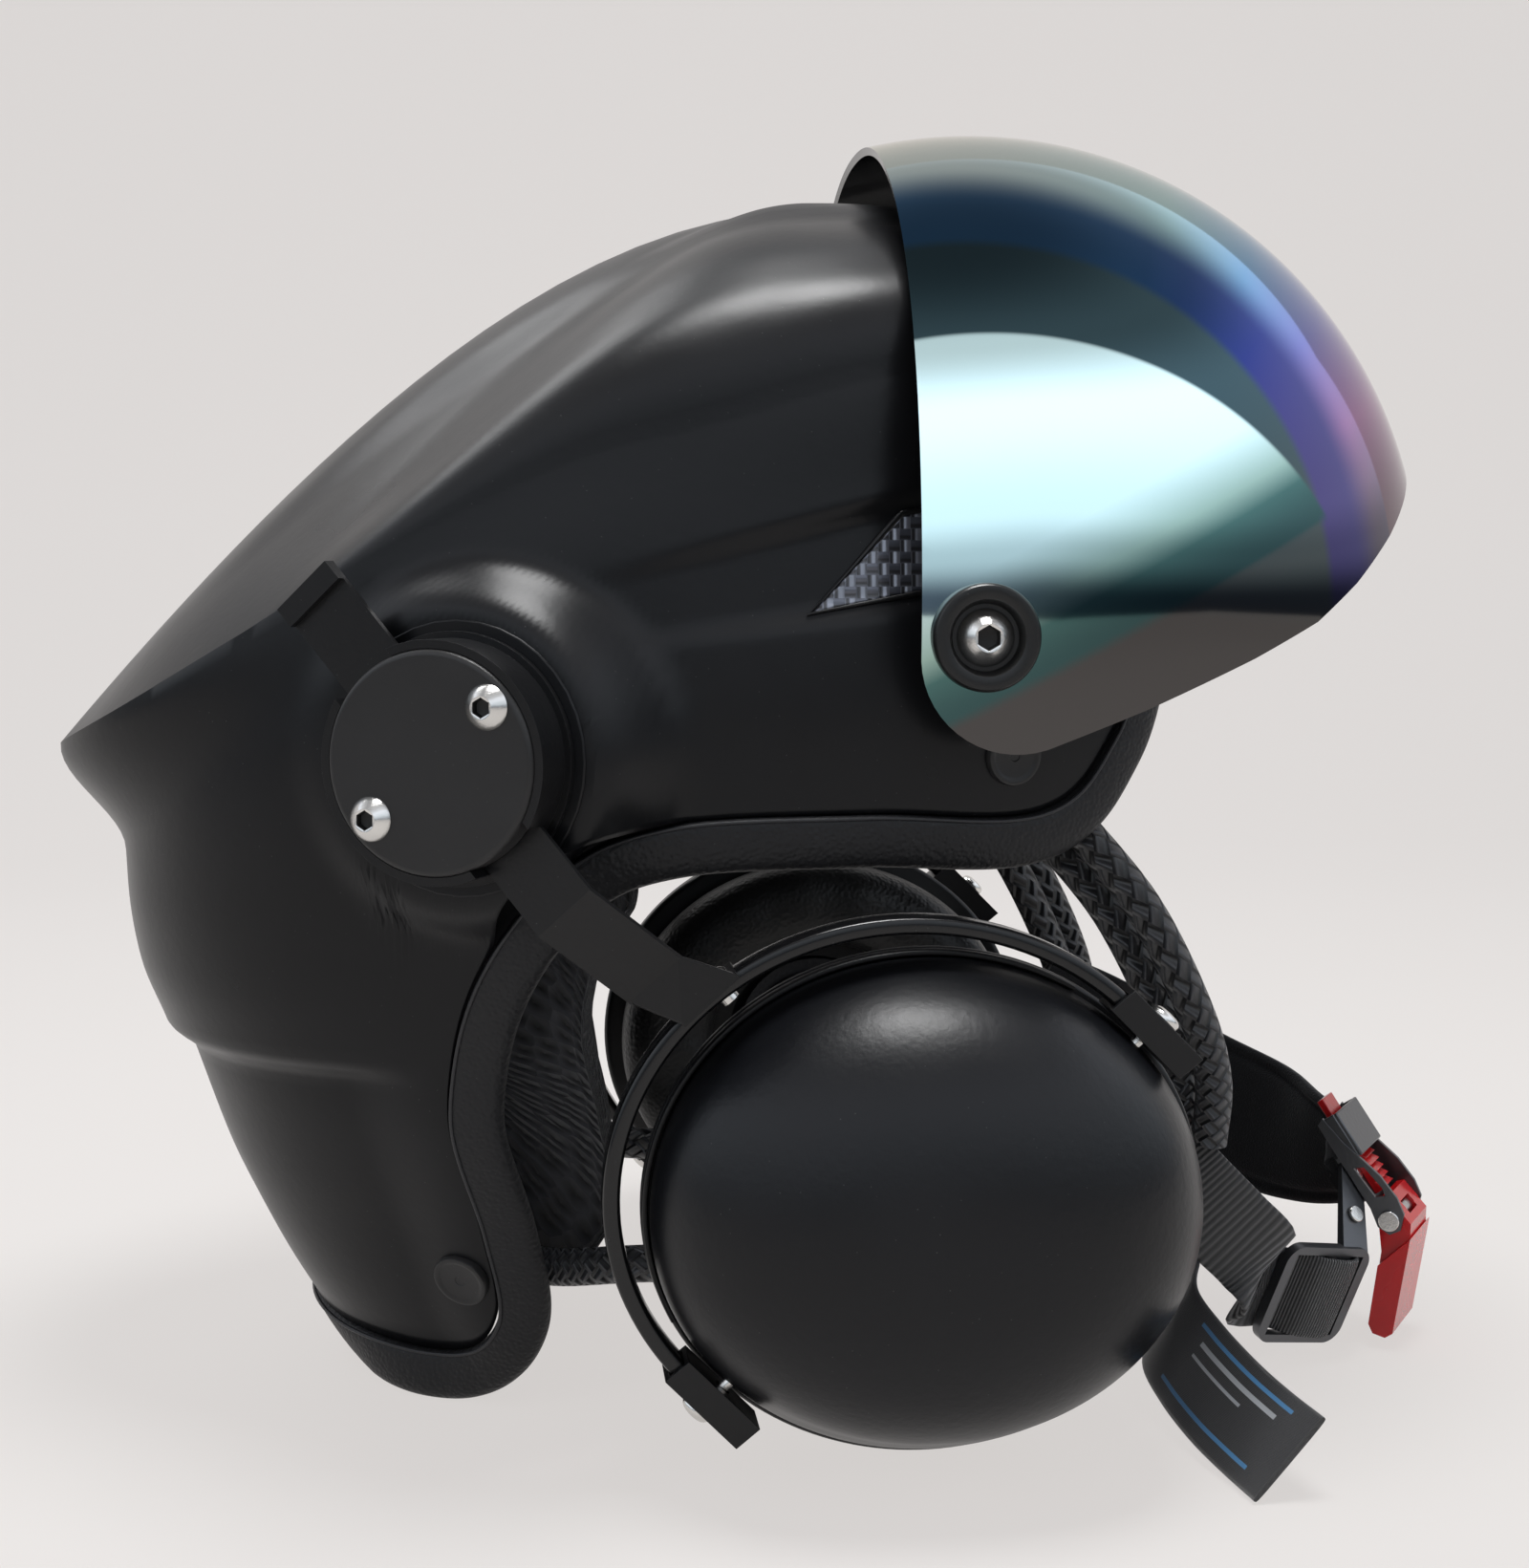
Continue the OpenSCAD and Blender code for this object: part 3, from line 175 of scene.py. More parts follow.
for name, place, power, size, shiny in (("lamp_top", (0.05, -0.06, 1.25), 15.0, 0.50, True),
                                        ("lamp_back", (-0.5, 0.5, 1.1), 3.5, 0.6, True),
                                        ("lamp_left", (-1.1, -0.9, 0.7), 2.2, 0.8, False),
                                        ("lamp_front", (1.2, -0.9, 0.8), 2.2, 0.8, False)):
    lamp = bpy.data.lights.new(name, "AREA")
    lamp.energy = power
    lamp.shape = "DISK"
    lamp.size = size
    lamp_object = bpy.data.objects.new(name, lamp)
    lamp_object.location = place
    lamp_object.rotation_euler = (Vector(place) - lamp_target).to_track_quat("Z", "Y").to_euler()
    lamp_object.visible_glossy = shiny
    scene.collection.objects.link(lamp_object)


# Shell: one moulded glass-fibre shell, straight towards a crisp tail ledge and soft at the brow, with a
# raised centre band, a scoop on each side, a nape step, and a swelling under each ear cup mount. The rows
# give places round the edge, and shares of the lengths at shares of the height.
crown_z = 296
axis_x = -44
crown_x = 15
front_len = 161
rear_len = 120
half_wide = 104
shoulder_front = front_len * 0.87
shoulder_half = half_wide * 0.94
tail_reach = 16
tail_len = rear_len + tail_reach
oval_power = 2.3
cap_power = 2.2
nape_low = 0.287
nape_high = 0.309
nape_depth = 4.5
step_from = 1 / 2
step_to = 7 / 12
edge_rows = [(0, 0.774, 0), (19, 0.738, 14), (28, 0.655, 26), (33.5, 0.557, 35), (41, 0.501, 46),
             (60, 0.504, 62), (83, 0.499, 80), (97, 0.464, 93), (108.5, 0.375, 105), (114, 0.268, 118),
             (112.7, 0.16, 130), (113.5, 0.081, 141), (125, 0.0465, 152), (150, 0.05, 166), (180, 0.062, 180)]
rear_rows = [(0.05, 0.645), (0.10, 0.718), (0.15, 0.78), (0.20, 0.835), (0.28, 0.902), (0.31, 0.928),
             (0.36, 0.975), (0.43, 0.998), (0.56, 0.99), (0.70, 0.875), (0.85, 0.75), (0.95, 0.68)]
front_rows = [(0.30, 0.96), (0.51, 1), (0.60, 1), (0.68, 0.98), (0.774, 0.944), (0.87, 0.87), (0.95, 0.8)]
width_rows = [(0.05, 0.60), (0.15, 0.713), (0.25, 0.838), (0.31, 0.88), (0.37, 0.925), (0.44, 0.965),
              (0.51, 0.99), (0.59, 1), (0.68, 0.985), (0.76, 0.955), (0.85, 0.91), (0.93, 0.85)]
shoulder_rows = [(0, 0.54), (0.083, 0.581), (0.178, 0.632), (0.275, 0.686), (0.377, 0.736),
                 (0.471, 0.774), (0.569, 0.797), (0.732, 0.8395), (1, 0.864)]
edge_half = len(edge_rows) - 1
edge_count = 2 * edge_half


def ease(share):
    share = max(0.0, min(1.0, share))
    return share * share * (3 - 2 * share)


def blend_to(a, b, share):
    return a + (b - a) * share


def polar(degrees):
    return math.cos(math.radians(degrees)), math.sin(math.radians(degrees))


def powered(value, power):
    return math.copysign(abs(value) ** power, value)


def square_to(vector, axis):
    return (vector - axis * vector.dot(axis)).normalized()


def through(rows, at):
    i = 0
    while i < len(rows) - 2 and at >= rows[i + 1][0]:
        i += 1
    (xa, ya), (xb, yb) = rows[i], rows[i + 1]
    h = xb - xa
    t = max(0.0, min(1.0, (at - xa) / h))
    slope_a = (yb - ya) / h if i == 0 else (yb - rows[i - 1][1]) / (xb - rows[i - 1][0])
    slope_b = (yb - ya) / h if i == len(rows) - 2 else (rows[i + 2][1] - ya) / (rows[i + 2][0] - xa)
    return (ya * (2 * t ** 3 - 3 * t * t + 1) + slope_a * h * (t ** 3 - 2 * t * t + t)
            + yb * (3 * t * t - 2 * t ** 3) + slope_b * h * (t ** 3 - t * t))


def between(p0, p1, p2, p3, f):
    return p1 + 0.5 * f * ((p2 - p0) + f * ((2 * p0 - 5 * p1 + 4 * p2 - p3) + f * (3 * (p1 - p2) + p3 - p0)))


def edge_row(i):
    turn, k = divmod(i, edge_count)
    if k <= edge_half:
        phi, height, cap_phi = edge_rows[k]
    else:
        phi, height, cap_phi = edge_rows[edge_count - k]
        phi, cap_phi = 360 - phi, 360 - cap_phi
    return Vector((phi + 360 * turn, height, cap_phi + 360 * turn))


def edge_at(t):
    i = math.floor(t)
    return between(edge_row(i - 1), edge_row(i), edge_row(i + 1), edge_row(i + 2), t - i)


def oval(phi, front, rear, side):
    c, s = polar(phi)
    length = front if c > 0 else rear
    return ((abs(c) / length) ** oval_power + (abs(s) / side) ** oval_power) ** (-1 / oval_power)


def body_r(phi, z):
    h = z / crown_z
    return oval(phi, front_len * through(front_rows, h), rear_len * through(rear_rows, h),
                half_wide * through(width_rows, h))


def shoulder_r(phi, tail):
    reach = tail * tail_reach * max(0.0, -polar(phi)[0]) ** 5
    return oval(phi, shoulder_front, rear_len, shoulder_half) + reach


def shoulder_z(phi):
    x = shoulder_r(phi, 1) * polar(phi)[0]
    return crown_z * through(shoulder_rows, (x + tail_len) / (shoulder_front + tail_len))


def turned(phi):
    phi = phi % 360
    return min(phi, 360 - phi)


def wall_r(phi, z, tail):
    top = shoulder_z(phi)
    lead = shoulder_r(phi, tail) - body_r(phi, top)
    below = 1 - ease((z / crown_z - nape_low) / (nape_high - nape_low))
    step = nape_depth * below * ease((turned(phi) - 114) / 16)
    return body_r(phi, z) + lead * (1 - ease((top - z) / 27)) - step


def relief(tail):
    return 1.0 if tail == 1 else 1.3


def scoop(x, z):
    low = 190 + 0.13 * x
    high = 216.5 + 0.25 * x
    return 2.4 * ease((x + 60) / 70) * ease((z - low) / 6) * ease((high - z) / 6)


def at_wall(phi, z, tail):
    c, s = polar(phi)
    r = wall_r(phi, z, tail)
    r -= relief(tail) * scoop(axis_x + r * c, z)
    return Vector((axis_x + r * c, -r * s, z))


def at_cap(phi, t, tail):
    c, s = polar(phi)
    z = shoulder_z(phi)
    r = shoulder_r(phi, tail)
    x = crown_x + (axis_x + r * c - crown_x) * t
    y = -r * s * t
    round_drop = 1 - (1 - t ** cap_power) ** (1 / cap_power)
    lean_drop = (math.sqrt(1 + t * t) - 1) / (math.sqrt(2) - 1)
    drop = blend_to(lean_drop, round_drop, ease((135 - turned(phi)) / 65))
    band = 3 * ease((abs(y) - 33) / 15) * ease((x + 150) / 60) * ease((1 - t) / 0.2)
    return Vector((x, y, crown_z - (crown_z - z) * drop - relief(tail) * band))


def on_wall(e, v):
    top = shoulder_z(e[2])
    low = e[1] * crown_z
    up, down = nape_high * crown_z, nape_low * crown_z
    if v < step_from:
        stepped = blend_to(top, up, v / step_from)
    elif v < step_to:
        stepped = blend_to(up, down, (v - step_from) / (step_to - step_from))
    else:
        stepped = blend_to(down, low, (v - step_to) / (1 - step_to))
    return blend_to(e[2], e[0], v), blend_to(blend_to(top, low, v), stepped, ease((down - low) / 30))


def at_shell(t, v, tail=1):
    e = edge_at(t)
    if v <= 0:
        return at_cap(e[2], 1 + v, tail)
    phi, z = on_wall(e, v)
    return at_wall(phi, z, tail)


def wall_normal(phi, z, tail=1):
    a = at_wall(phi + 1, z, tail) - at_wall(phi - 1, z, tail)
    return a.cross(at_wall(phi, z - 1, tail) - at_wall(phi, z + 1, tail)).normalized()


def make_piece(name, bm, body, material, stands_for=(), sharp=38):
    for edge in bm.edges:
        edge.smooth = not (len(edge.link_faces) == 2 and edge.calc_face_angle(0) > math.radians(sharp))
    made = make_object(name, bm, material)
    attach(made, body)
    if stands_for:
        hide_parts(*stands_for)
    return made


def thicken(made, thickness):
    wall = made.modifiers.new("wall", "SOLIDIFY")
    wall.thickness = thickness * MM
    wall.offset = -1


def grid_of(across, down, place, weld=1e-6, closed=True):
    bm = bmesh.new()
    bmesh.ops.create_grid(bm, x_segments=across, y_segments=down, size=1)
    uv = bm.loops.layers.uv.new("UVMap")
    shares = {vert: ((vert.co.x + 1) / 2, (vert.co.y + 1) / 2) for vert in bm.verts}
    for face in bm.faces:
        for loop in face.loops:
            loop[uv].uv = shares[loop.vert]
    for vert, (u, v) in shares.items():
        vert.co = place(u, v) * MM
    bmesh.ops.remove_doubles(bm, verts=bm.verts[:], dist=weld)
    if closed:
        bmesh.ops.recalc_face_normals(bm, faces=bm.faces[:])
    return bm


def point_out(bm, centre):
    middle = Vector(centre) * MM
    score = sum((face.calc_center_median() - middle).dot(face.normal) * face.calc_area() for face in bm.faces)
    if score < 0:
        bmesh.ops.reverse_faces(bm, faces=bm.faces[:])


mount_seat = Vector((-78.2255, -108.935, 163))
mount_out = Vector((-0.438371, -0.898794, 0))
swell_flat = 31.5
swell_fade = 13
swell_reach = 46


def swell(p):
    side = -1 if p.y < 0 else 1
    seat = Vector((mount_seat.x, -side * mount_seat.y, mount_seat.z))
    out = Vector((mount_out.x, -side * mount_out.y, 0))
    rise = (seat - p).dot(out)
    away = ((p - seat) + out * rise).length
    if rise <= 0 or away > swell_reach:
        return p
    return p + out * (rise * 0.97 * (1 - ease((away - swell_flat) / swell_fade)))


shell_across = 336
cap_rings = 30
wall_rings = 62


def shell_share(v):
    ring = v * (cap_rings + wall_rings)
    if ring <= cap_rings:
        return math.sin(math.pi / 2 * ring / cap_rings) - 1
    return (ring - cap_rings) / wall_rings


def shell_point(u, v):
    return swell(at_shell((u % 1.0) * edge_count, shell_share(v)))


def new_group(name, entries, results, kind="NodeSocketFloat"):
    made = bpy.data.node_groups.new(name, "ShaderNodeTree")
    for socket in entries:
        made.interface.new_socket(socket, in_out="INPUT", socket_type="NodeSocketFloat")
    for socket in results:
        made.interface.new_socket(socket, in_out="OUTPUT", socket_type=kind)
    return made, made.nodes.new("NodeGroupInput"), made.nodes.new("NodeGroupOutput")


def speck_group():
    made, entry, leave = new_group("dust_specks", ("Scale",), ("Mask", "Cloud"))
    place = object_place(made)
    cells = add_node(made, "TexVoronoi", {
        "Vector": place, "Scale": entry.outputs["Scale"], "Randomness": 1.0}).outputs["Distance"]
    cloud = add_node(made, "TexNoise", {"Vector": place, "Scale": 22.0, "Detail": 3.0}).outputs["Fac"]
    made.links.new(calc("MULTIPLY", calc("LESS_THAN", cells, 0.05), cloud), leave.inputs["Mask"])
    made.links.new(cloud, leave.inputs["Cloud"])
    return made


def grain_group():
    made, entry, leave = new_group("surface_grain", ("Scale", "Depth", "Pores"), ("Normal",),
                                   "NodeSocketVector")
    place = object_place(made)
    size = entry.outputs["Scale"]
    rough = add_node(made, "TexNoise", {"Vector": place, "Scale": size, "Detail": 4.0})
    cells = add_node(made, "TexVoronoi", {"Vector": place, "Scale": size}, feature="SMOOTH_F1")
    height = add_node(made, "Mix", {
        "Factor": entry.outputs["Pores"], "A": rough.outputs["Fac"], "B": cells.outputs["Distance"]})
    normal = bumped(height.outputs["Result"], entry.outputs["Depth"], 0.0004)
    made.links.new(normal, leave.inputs["Normal"])
    return made


def bumped(height, strength, distance):
    return add_node(height.id_data, "Bump", {
        "Height": height, "Strength": strength, "Distance": distance}).outputs["Normal"]


speck_nodes = speck_group()
grain_nodes = grain_group()


def add_grain(made, scale, depth, pores):
    grain = add_node(made.node_tree, "Group", {"Scale": scale, "Depth": depth, "Pores": pores},
                     node_tree=grain_nodes)
    feed(made, "Normal", grain.outputs["Normal"])


def add_dust(made, colour, dusty, specks, rough_low, rough_high):
    dust = add_node(made.node_tree, "Group", {"Scale": specks}, node_tree=speck_nodes)
    cloud = dust.outputs["Cloud"]
    base = colour_steps(cloud, [(0.3, colour), (0.75, [tone * 1.25 + 0.001 for tone in colour])])
    feed(made, "Base Color", mix_colours(dust.outputs["Mask"], base, dusty))
    shade = add_node(made.node_tree, "MapRange", {
        "Value": cloud, "From Min": 0.3, "From Max": 0.7, "To Min": rough_low, "To Max": rough_high})
    feed(made, "Roughness", shade.outputs["Result"])


def plain_finish(name, colour, rough, grain=900.0, depth=0.15, pores=0.0, metallic=0.0, level=0.3, coat=0.0,
                 dusty=(0.07, 0.07, 0.07)):
    made = make_material(name, colour, rough, metallic=metallic, level=level, coat=coat)
    add_dust(made, colour, dusty, 330.0, rough * 0.85, min(1.0, rough * 1.2))
    add_grain(made, grain, depth, pores)
    return made


shell_bm = grid_of(shell_across, cap_rings + wall_rings, shell_point, closed=False)
point_out(shell_bm, (axis_x, 0, 160))
shell_paint = plain_finish("shell_satin_black", (0.0050, 0.0052, 0.0060), 0.32, grain=420.0, depth=0.10,
                           level=0.22)
shell = make_piece("shell_skin", shell_bm, "helmet", shell_paint, ["shell"])
thicken(shell, 3)


# Edge trim: a folded strip of black leatherette glued round the whole lower edge and the face opening,
# with a fine piped line along its upper edge, whose tone, lighter than the trim, is a painted highlight.
trim_half = [(0.4, 2.3), (1.4, 2.95), (3.6, 3.15), (7.0, 3.15), (10.0, 2.8), (11.9, 2.0), (12.7, 0.8)]
trim_profile = [(0.4, 0)] + trim_half + [(12.9, 0)] + [(out, -rise) for out, rise in reversed(trim_half)]
trim_across = 420
wall_middle = 1.5
piping_r = 0.5


def edge_frame(t):
    e = edge_at(t)
    place = at_shell(t, 1)
    normal = wall_normal(e[0], e[1] * crown_z)
    along = (at_shell(t + 0.02, 1) - at_shell(t - 0.02, 1)).normalized()
    out = normal.cross(along).normalized()
    if out.dot(place - at_shell(t, 0.97)) < 0:
        out = -out
    return place, normal, out


def trim_ring(count):
    frames = [edge_frame(edge_count * i / count) for i in range(count)]
    smooth = []
    for i in range(count):
        out = Vector()
        normal = Vector()
        for j in range(-4, 5):
            normal += frames[(i + j) % count][1]
            out += frames[(i + j) % count][2]
        normal.normalize()
        smooth.append((frames[i][0], normal, square_to(out, normal)))
    return smooth


trim_frames = trim_ring(trim_across)


def off_trim(u, outward, raised):
    place, normal, out = trim_frames[round(u * trim_across) % trim_across]
    return place - normal * wall_middle + out * outward + normal * raised


def trim_point(u, v):
    return off_trim(u, *trim_profile[round(v * len(trim_profile)) % len(trim_profile)])


def piping_point(u, v):
    return off_trim(u, 1.0 + piping_r * math.cos(math.tau * v), 2.75 + piping_r * math.sin(math.tau * v))


trim_paint = plain_finish("trim_leatherette", (0.012, 0.012, 0.013), 0.46, grain=1000.0, depth=0.8, pores=0.8,
                          level=0.25)
trim_bm = grid_of(trim_across, len(trim_profile), trim_point)
trim = make_piece("edge_trim_cover", trim_bm, "helmet", trim_paint, ["edge_trim"], sharp=80)
trim_round = trim.modifiers.new("round", "SUBSURF")
trim_round.levels = 1
trim_round.render_levels = 1
# The piping bead is painted lighter than the trim: a painted highlight along the trim's upper edge.
piping_highlight_paint = plain_finish("piping_vinyl", (0.025, 0.025, 0.027), 0.36, grain=1500.0, depth=0.3)
make_piece("trim_piping", grid_of(trim_across, 8, piping_point), "helmet", piping_highlight_paint, sharp=80)


# Crash liner and comfort liner: a moulded foam bowl, and inside it a padded bowl covered in corrugated
# knit mesh, which rolls out past the trim along the back of each ear opening.
head_middle = Vector((-34, 0, 168))
cap_middle = Vector((axis_x + 40, 0, 120))
liner_gap = 5.2
liner_low = shell_share(0.98) * 0.985
near_end = 0.42
far_start = 0.60


def sunk(t, v, gap):
    place = at_shell(t, v, 0)
    if v <= 0:
        along = at_shell(t + 0.05, v, 0) - at_shell(t - 0.05, v, 0)
        normal = along.cross(at_shell(t, v + 0.02, 0) - at_shell(t, max(-1.0, v - 0.02), 0))
        if normal.length < 1e-6:
            normal = Vector((0, 0, 1))
        normal.normalize()
        if normal.dot(place - cap_middle) < 0:
            normal = -normal
    else:
        phi, z = on_wall(edge_at(t), v)
        normal = wall_normal(phi, z, 0)
    place = place - normal * liner_gap
    return place + (head_middle - place).normalized() * gap


def roll_share(t):
    turn = t % edge_count
    near = min(turn, edge_count - turn)
    return ease((near - 5.8) / 1.6) * (1 - ease((near - 10.9) / 1.3))


def liner_side(t, share, gap):
    return sunk(t, shell_share(share * 0.98) * 0.985, gap)


def liner_point(t, s, near, far, rim):
    if s <= near_end:
        place = liner_side(t, s / near_end, near)
        share = ease((s - 0.34) / 0.08)
    elif s >= far_start:
        place = liner_side(t, (1 - s) / (1 - far_start), far)
        share = 1 - ease((s - far_start) / 0.09)
    else:
        turn = (s - near_end) / (far_start - near_end) * math.pi
        a = sunk(t, liner_low, near)
        b = sunk(t, liner_low, far)
        drop = (a - sunk(t, liner_low - 0.03, near)).normalized()
        place = (a + b) / 2 + (a - b) / 2 * math.cos(turn) + drop * (a - b).length * 0.45 * math.sin(turn)
        share = 1.0
    out = trim_frames[round(t / edge_count * trim_across) % trim_across][2]
    return place + out * rim * share * roll_share(t)


def liner_grid(across, down, near, far, rim):
    return grid_of(across, down, lambda u, v: liner_point((u % 1.0) * edge_count, v, near, far, rim), 2e-5)


foam_paint = plain_finish("crash_foam", (0.014, 0.014, 0.015), 0.85, grain=260.0, depth=0.8, pores=1.0,
                          level=0.2)
make_piece("crash_liner", liner_grid(168, 60, 0.0, 18.6, 0.0), "helmet", foam_paint, ["foam_liner"],
           sharp=70)
knit_paint = make_material("knit_mesh", (0.014, 0.014, 0.015), 0.8, sheen=0.25)
knit_place = uv_place(knit_paint.node_tree)
knit_size = add_node(knit_paint.node_tree, "Mapping", {"Vector": knit_place, "Scale": (250, 78, 1)})
knit_cells = add_node(knit_paint.node_tree, "TexVoronoi", {
    "Vector": knit_size.outputs["Vector"], "Scale": 1.0, "Randomness": 0.55}, voronoi_dimensions="2D")
knit_height = knit_cells.outputs["Distance"]
feed(knit_paint, "Normal", bumped(knit_height, 1.0, 0.003))
# The knit's base colour is painted light: near black in the pits of the cells as painted shade, and lighter
# on the raised knit as a painted highlight.
feed(knit_paint, "Base Color",
     colour_steps(knit_height, [(0.12, (0.002, 0.002, 0.002)), (0.55, (0.045, 0.045, 0.05))]))
knit_liner = make_piece("comfort_lining", liner_grid(280, 96, 19.4, 26.2, 24.0), "helmet", knit_paint,
                        ["comfort_liner"], sharp=80)


# Ear cup mounts: a thick round black body bolted to a moulded pad on each side, a slightly smaller round
# cover over it, two button-head screws, and the sliding arm in the slot between them. Here and below, fitted
# hard parts are copies of the solids with small bevels, as moulding and turning leave their corners.
def soften(made, width, segments, sharp):
    soft = made.modifiers.new("soft", "BEVEL")
    soft.width = width * MM
    soft.segments = segments
    soft.limit_method = "ANGLE"
    soft.angle_limit = math.radians(sharp)


def dress(node, body, material, name, bevel=0.3, segments=2, sharp=34, moved=None):
    bm = bmesh.new()
    bm.from_mesh(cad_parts[node].data)
    bmesh.ops.remove_doubles(bm, verts=bm.verts[:], dist=2e-5)
    bmesh.ops.dissolve_limit(bm, angle_limit=math.radians(0.4), verts=bm.verts[:], edges=bm.edges[:])
    if moved:
        bm.transform(Matrix.Scale(MM, 4) @ moved @ Matrix.Scale(1 / MM, 4))
    made = make_piece(name, bm, body, material, [node], sharp)
    if bevel:
        soften(made, bevel, segments, sharp)
    return made


def turned_part(profile, place, steps):
    rings = len(profile) - 1

    def point(u, v):
        r, z, *hexed = profile[round(v * rings)]
        angle = math.tau * (u % 1.0)
        hex_r = math.cos(math.pi / 6) / math.cos(((angle + math.pi / 6) % (math.pi / 3)) - math.pi / 6)
        r = r * (1 + (hexed[0] if hexed else 0) * (hex_r - 1))
        return place @ Vector((r * math.cos(angle), r * math.sin(angle), z))

    return grid_of(steps, rings, point)


def frame_at(origin, x, z):
    z = Vector(z).normalized()
    x = square_to(Vector(x), z)
    y = z.cross(x)
    return Matrix([(x[i], y[i], z[i], origin[i]) for i in range(3)] + [(0, 0, 0, 1)])


def mirrored(matrix):
    return Matrix.Scale(-1, 4, Vector((0, 1, 0))) @ matrix


def add_to(bm, other):
    mesh = bpy.data.meshes.new("added")
    other.to_mesh(mesh)
    other.free()
    bm.from_mesh(mesh)
    bpy.data.meshes.remove(mesh)


def screw_profile(head_r, head_h, hex_r):
    edge_h = 0.25
    rows = [(0, 0, 0), (head_r * 0.99, 0, 0), (head_r, edge_h, 0)]
    for i in range(1, 9):
        share = math.sin(math.pi / 2 * i / 8)
        rows.append((blend_to(head_r, hex_r * 1.24, share ** 1.3), edge_h + (head_h - edge_h) * share, 0))
    rows += [(hex_r * 1.16, head_h, 0.2), (hex_r * 1.1, head_h - 0.12, 0.9), (hex_r, head_h - 0.5, 1),
             (hex_r, head_h * 0.36, 1), (hex_r * 0.5, head_h * 0.30, 0.5), (0, head_h * 0.26, 0)]
    return rows


def add_screws(name, body, places, head_r, head_h, hex_r, stands_for):
    joined = bmesh.new()
    for place in places:
        one = turned_part(screw_profile(head_r, head_h, hex_r), place, 72)
        for face in one.faces:
            # Faces down in the hex socket take the second material, a painted shade for the recess.
            spot = place.inverted() @ (face.calc_center_median() / MM)
            if math.hypot(spot.x, spot.y) < hex_r * 1.06 and spot.z < head_h - 0.2:
                face.material_index = 1
        add_to(joined, one)
    made = make_piece(name, joined, body, steel_paint, stands_for, sharp=30)
    made.data.materials.append(socket_shade_paint)


steel_paint = plain_finish("screw_steel", (0.62, 0.61, 0.59), 0.24, grain=1400.0, depth=0.08, metallic=1.0,
                           dusty=(0.3, 0.3, 0.3))
# Dark paint for the hex sockets: painted shade in the recess, as the screws are steel throughout.
socket_shade_paint = plain_finish("socket_painted_shade", (0.035, 0.034, 0.033), 0.5, grain=1400.0, depth=0.08, metallic=0.6)
mount_paint = plain_finish("mount_black", (0.006, 0.006, 0.0065), 0.30, grain=700.0, depth=0.12, level=0.28)
cover_paint = plain_finish("mount_cover_black", (0.022, 0.0215, 0.0215), 0.36, grain=800.0, depth=0.10,
                           level=0.28)
arm_paint = plain_finish("arm_black", (0.007, 0.007, 0.0075), 0.32, depth=0.14)
pivot_paint = plain_finish("pivot_alloy", (0.55, 0.55, 0.56), 0.35, depth=0.1, metallic=1.0)
mount_frame = frame_at(mount_seat, (0.898794, -0.438371, 0), mount_out)
arm_slope = math.radians(48.5)
bolt_off = Vector((math.sin(arm_slope), math.cos(arm_slope), 0)) * 18.5
bolt_seat = Vector((0, 0, 13.5))
for side, placed in (("r", mount_frame), ("l", mirrored(mount_frame))):
    mount = f"mount_{side}"
    dress(f"mount_body_{side}", mount, mount_paint, f"mount_ring_{side}", 0.6, 3)
    dress(f"mount_cover_{side}", mount, cover_paint, f"mount_lid_{side}", 0.5, 3)
    spots = [placed @ Matrix.Translation(bolt_off * sign + bolt_seat) for sign in (1, -1)]
    add_screws(f"mount_bolts_{side}", mount, spots, 4.9, 2.9, 2.0, [f"mount_screws_{side}"])
    dress(f"arm_{side}", f"arm_strip_{side}", arm_paint, f"arm_plate_{side}", 0.35, sharp=18)
dress("mount_pivots", "helmet", pivot_paint, "mount_spigots", 0.2)
dress("arm_bosses", "helmet", shell_paint, "mount_pads", 0.4)


# Ear cups: a deep moulded cup on a base with a thin rim, held between the two slotted clips of a glossy
# half-ring yoke. The base carries the padded leatherette cushion and the speaker. Cups and clips are drawn
# a little wider and lower than the round solids, with the dome flatter below and fuller to the rear.
cup_middle = Vector((26, -104, 59.9))
cup_shift = Vector((-0.6, 0, 1.2))
cup_stretch = Vector((1.065, 1, 0.965, 1))
tilt_line = Vector((0.743145, 0, 0.669131))
cup_turn = frame_at((0, 0, 0), tilt_line, (0, -1, 0))
cup_frame_r = Matrix.Translation(cup_middle + cup_shift) @ Matrix.Diagonal(cup_stretch) @ cup_turn
cup_frame_l = mirrored(cup_frame_r)
clip_shift_r = cup_frame_r @ (Matrix.Translation(cup_middle) @ cup_turn).inverted()
clip_shift_l = mirrored(clip_shift_r) @ mirrored(Matrix.Identity(4))
cup_paint = plain_finish("cup_satin_black", (0.0045, 0.0048, 0.0060), 0.35, grain=520.0, depth=0.20,
                         level=0.26)
base_paint = plain_finish("cup_base_black", (0.006, 0.006, 0.0065), 0.33, grain=600.0)
yoke_paint = plain_finish("yoke_gloss_black", (0.004, 0.004, 0.0045), 0.18, grain=300.0, depth=0.06,
                          level=0.4)
clip_paint = plain_finish("clip_black", (0.006, 0.006, 0.0065), 0.33, grain=800.0, depth=0.12)
cushion_paint = plain_finish("ear_leatherette", (0.013, 0.013, 0.013), 0.42, depth=0.7,
                             pores=0.85)
speaker_paint = plain_finish("speaker_grey", (0.03, 0.03, 0.032), 0.5, grain=1200.0, depth=0.6, pores=1.0)
cup_power = 2 / 2.35
dome_x = 25.4
dome_z = 61.1
dome_flatter = 0.075
dome_fuller = 0.03
dome_start = 104
dome_fade = 20


def dome_rows(radius, deep, turns):
    return [(radius * math.sin(a) ** cup_power, deep * max(0.0, math.cos(a)) ** cup_power) for a in turns]


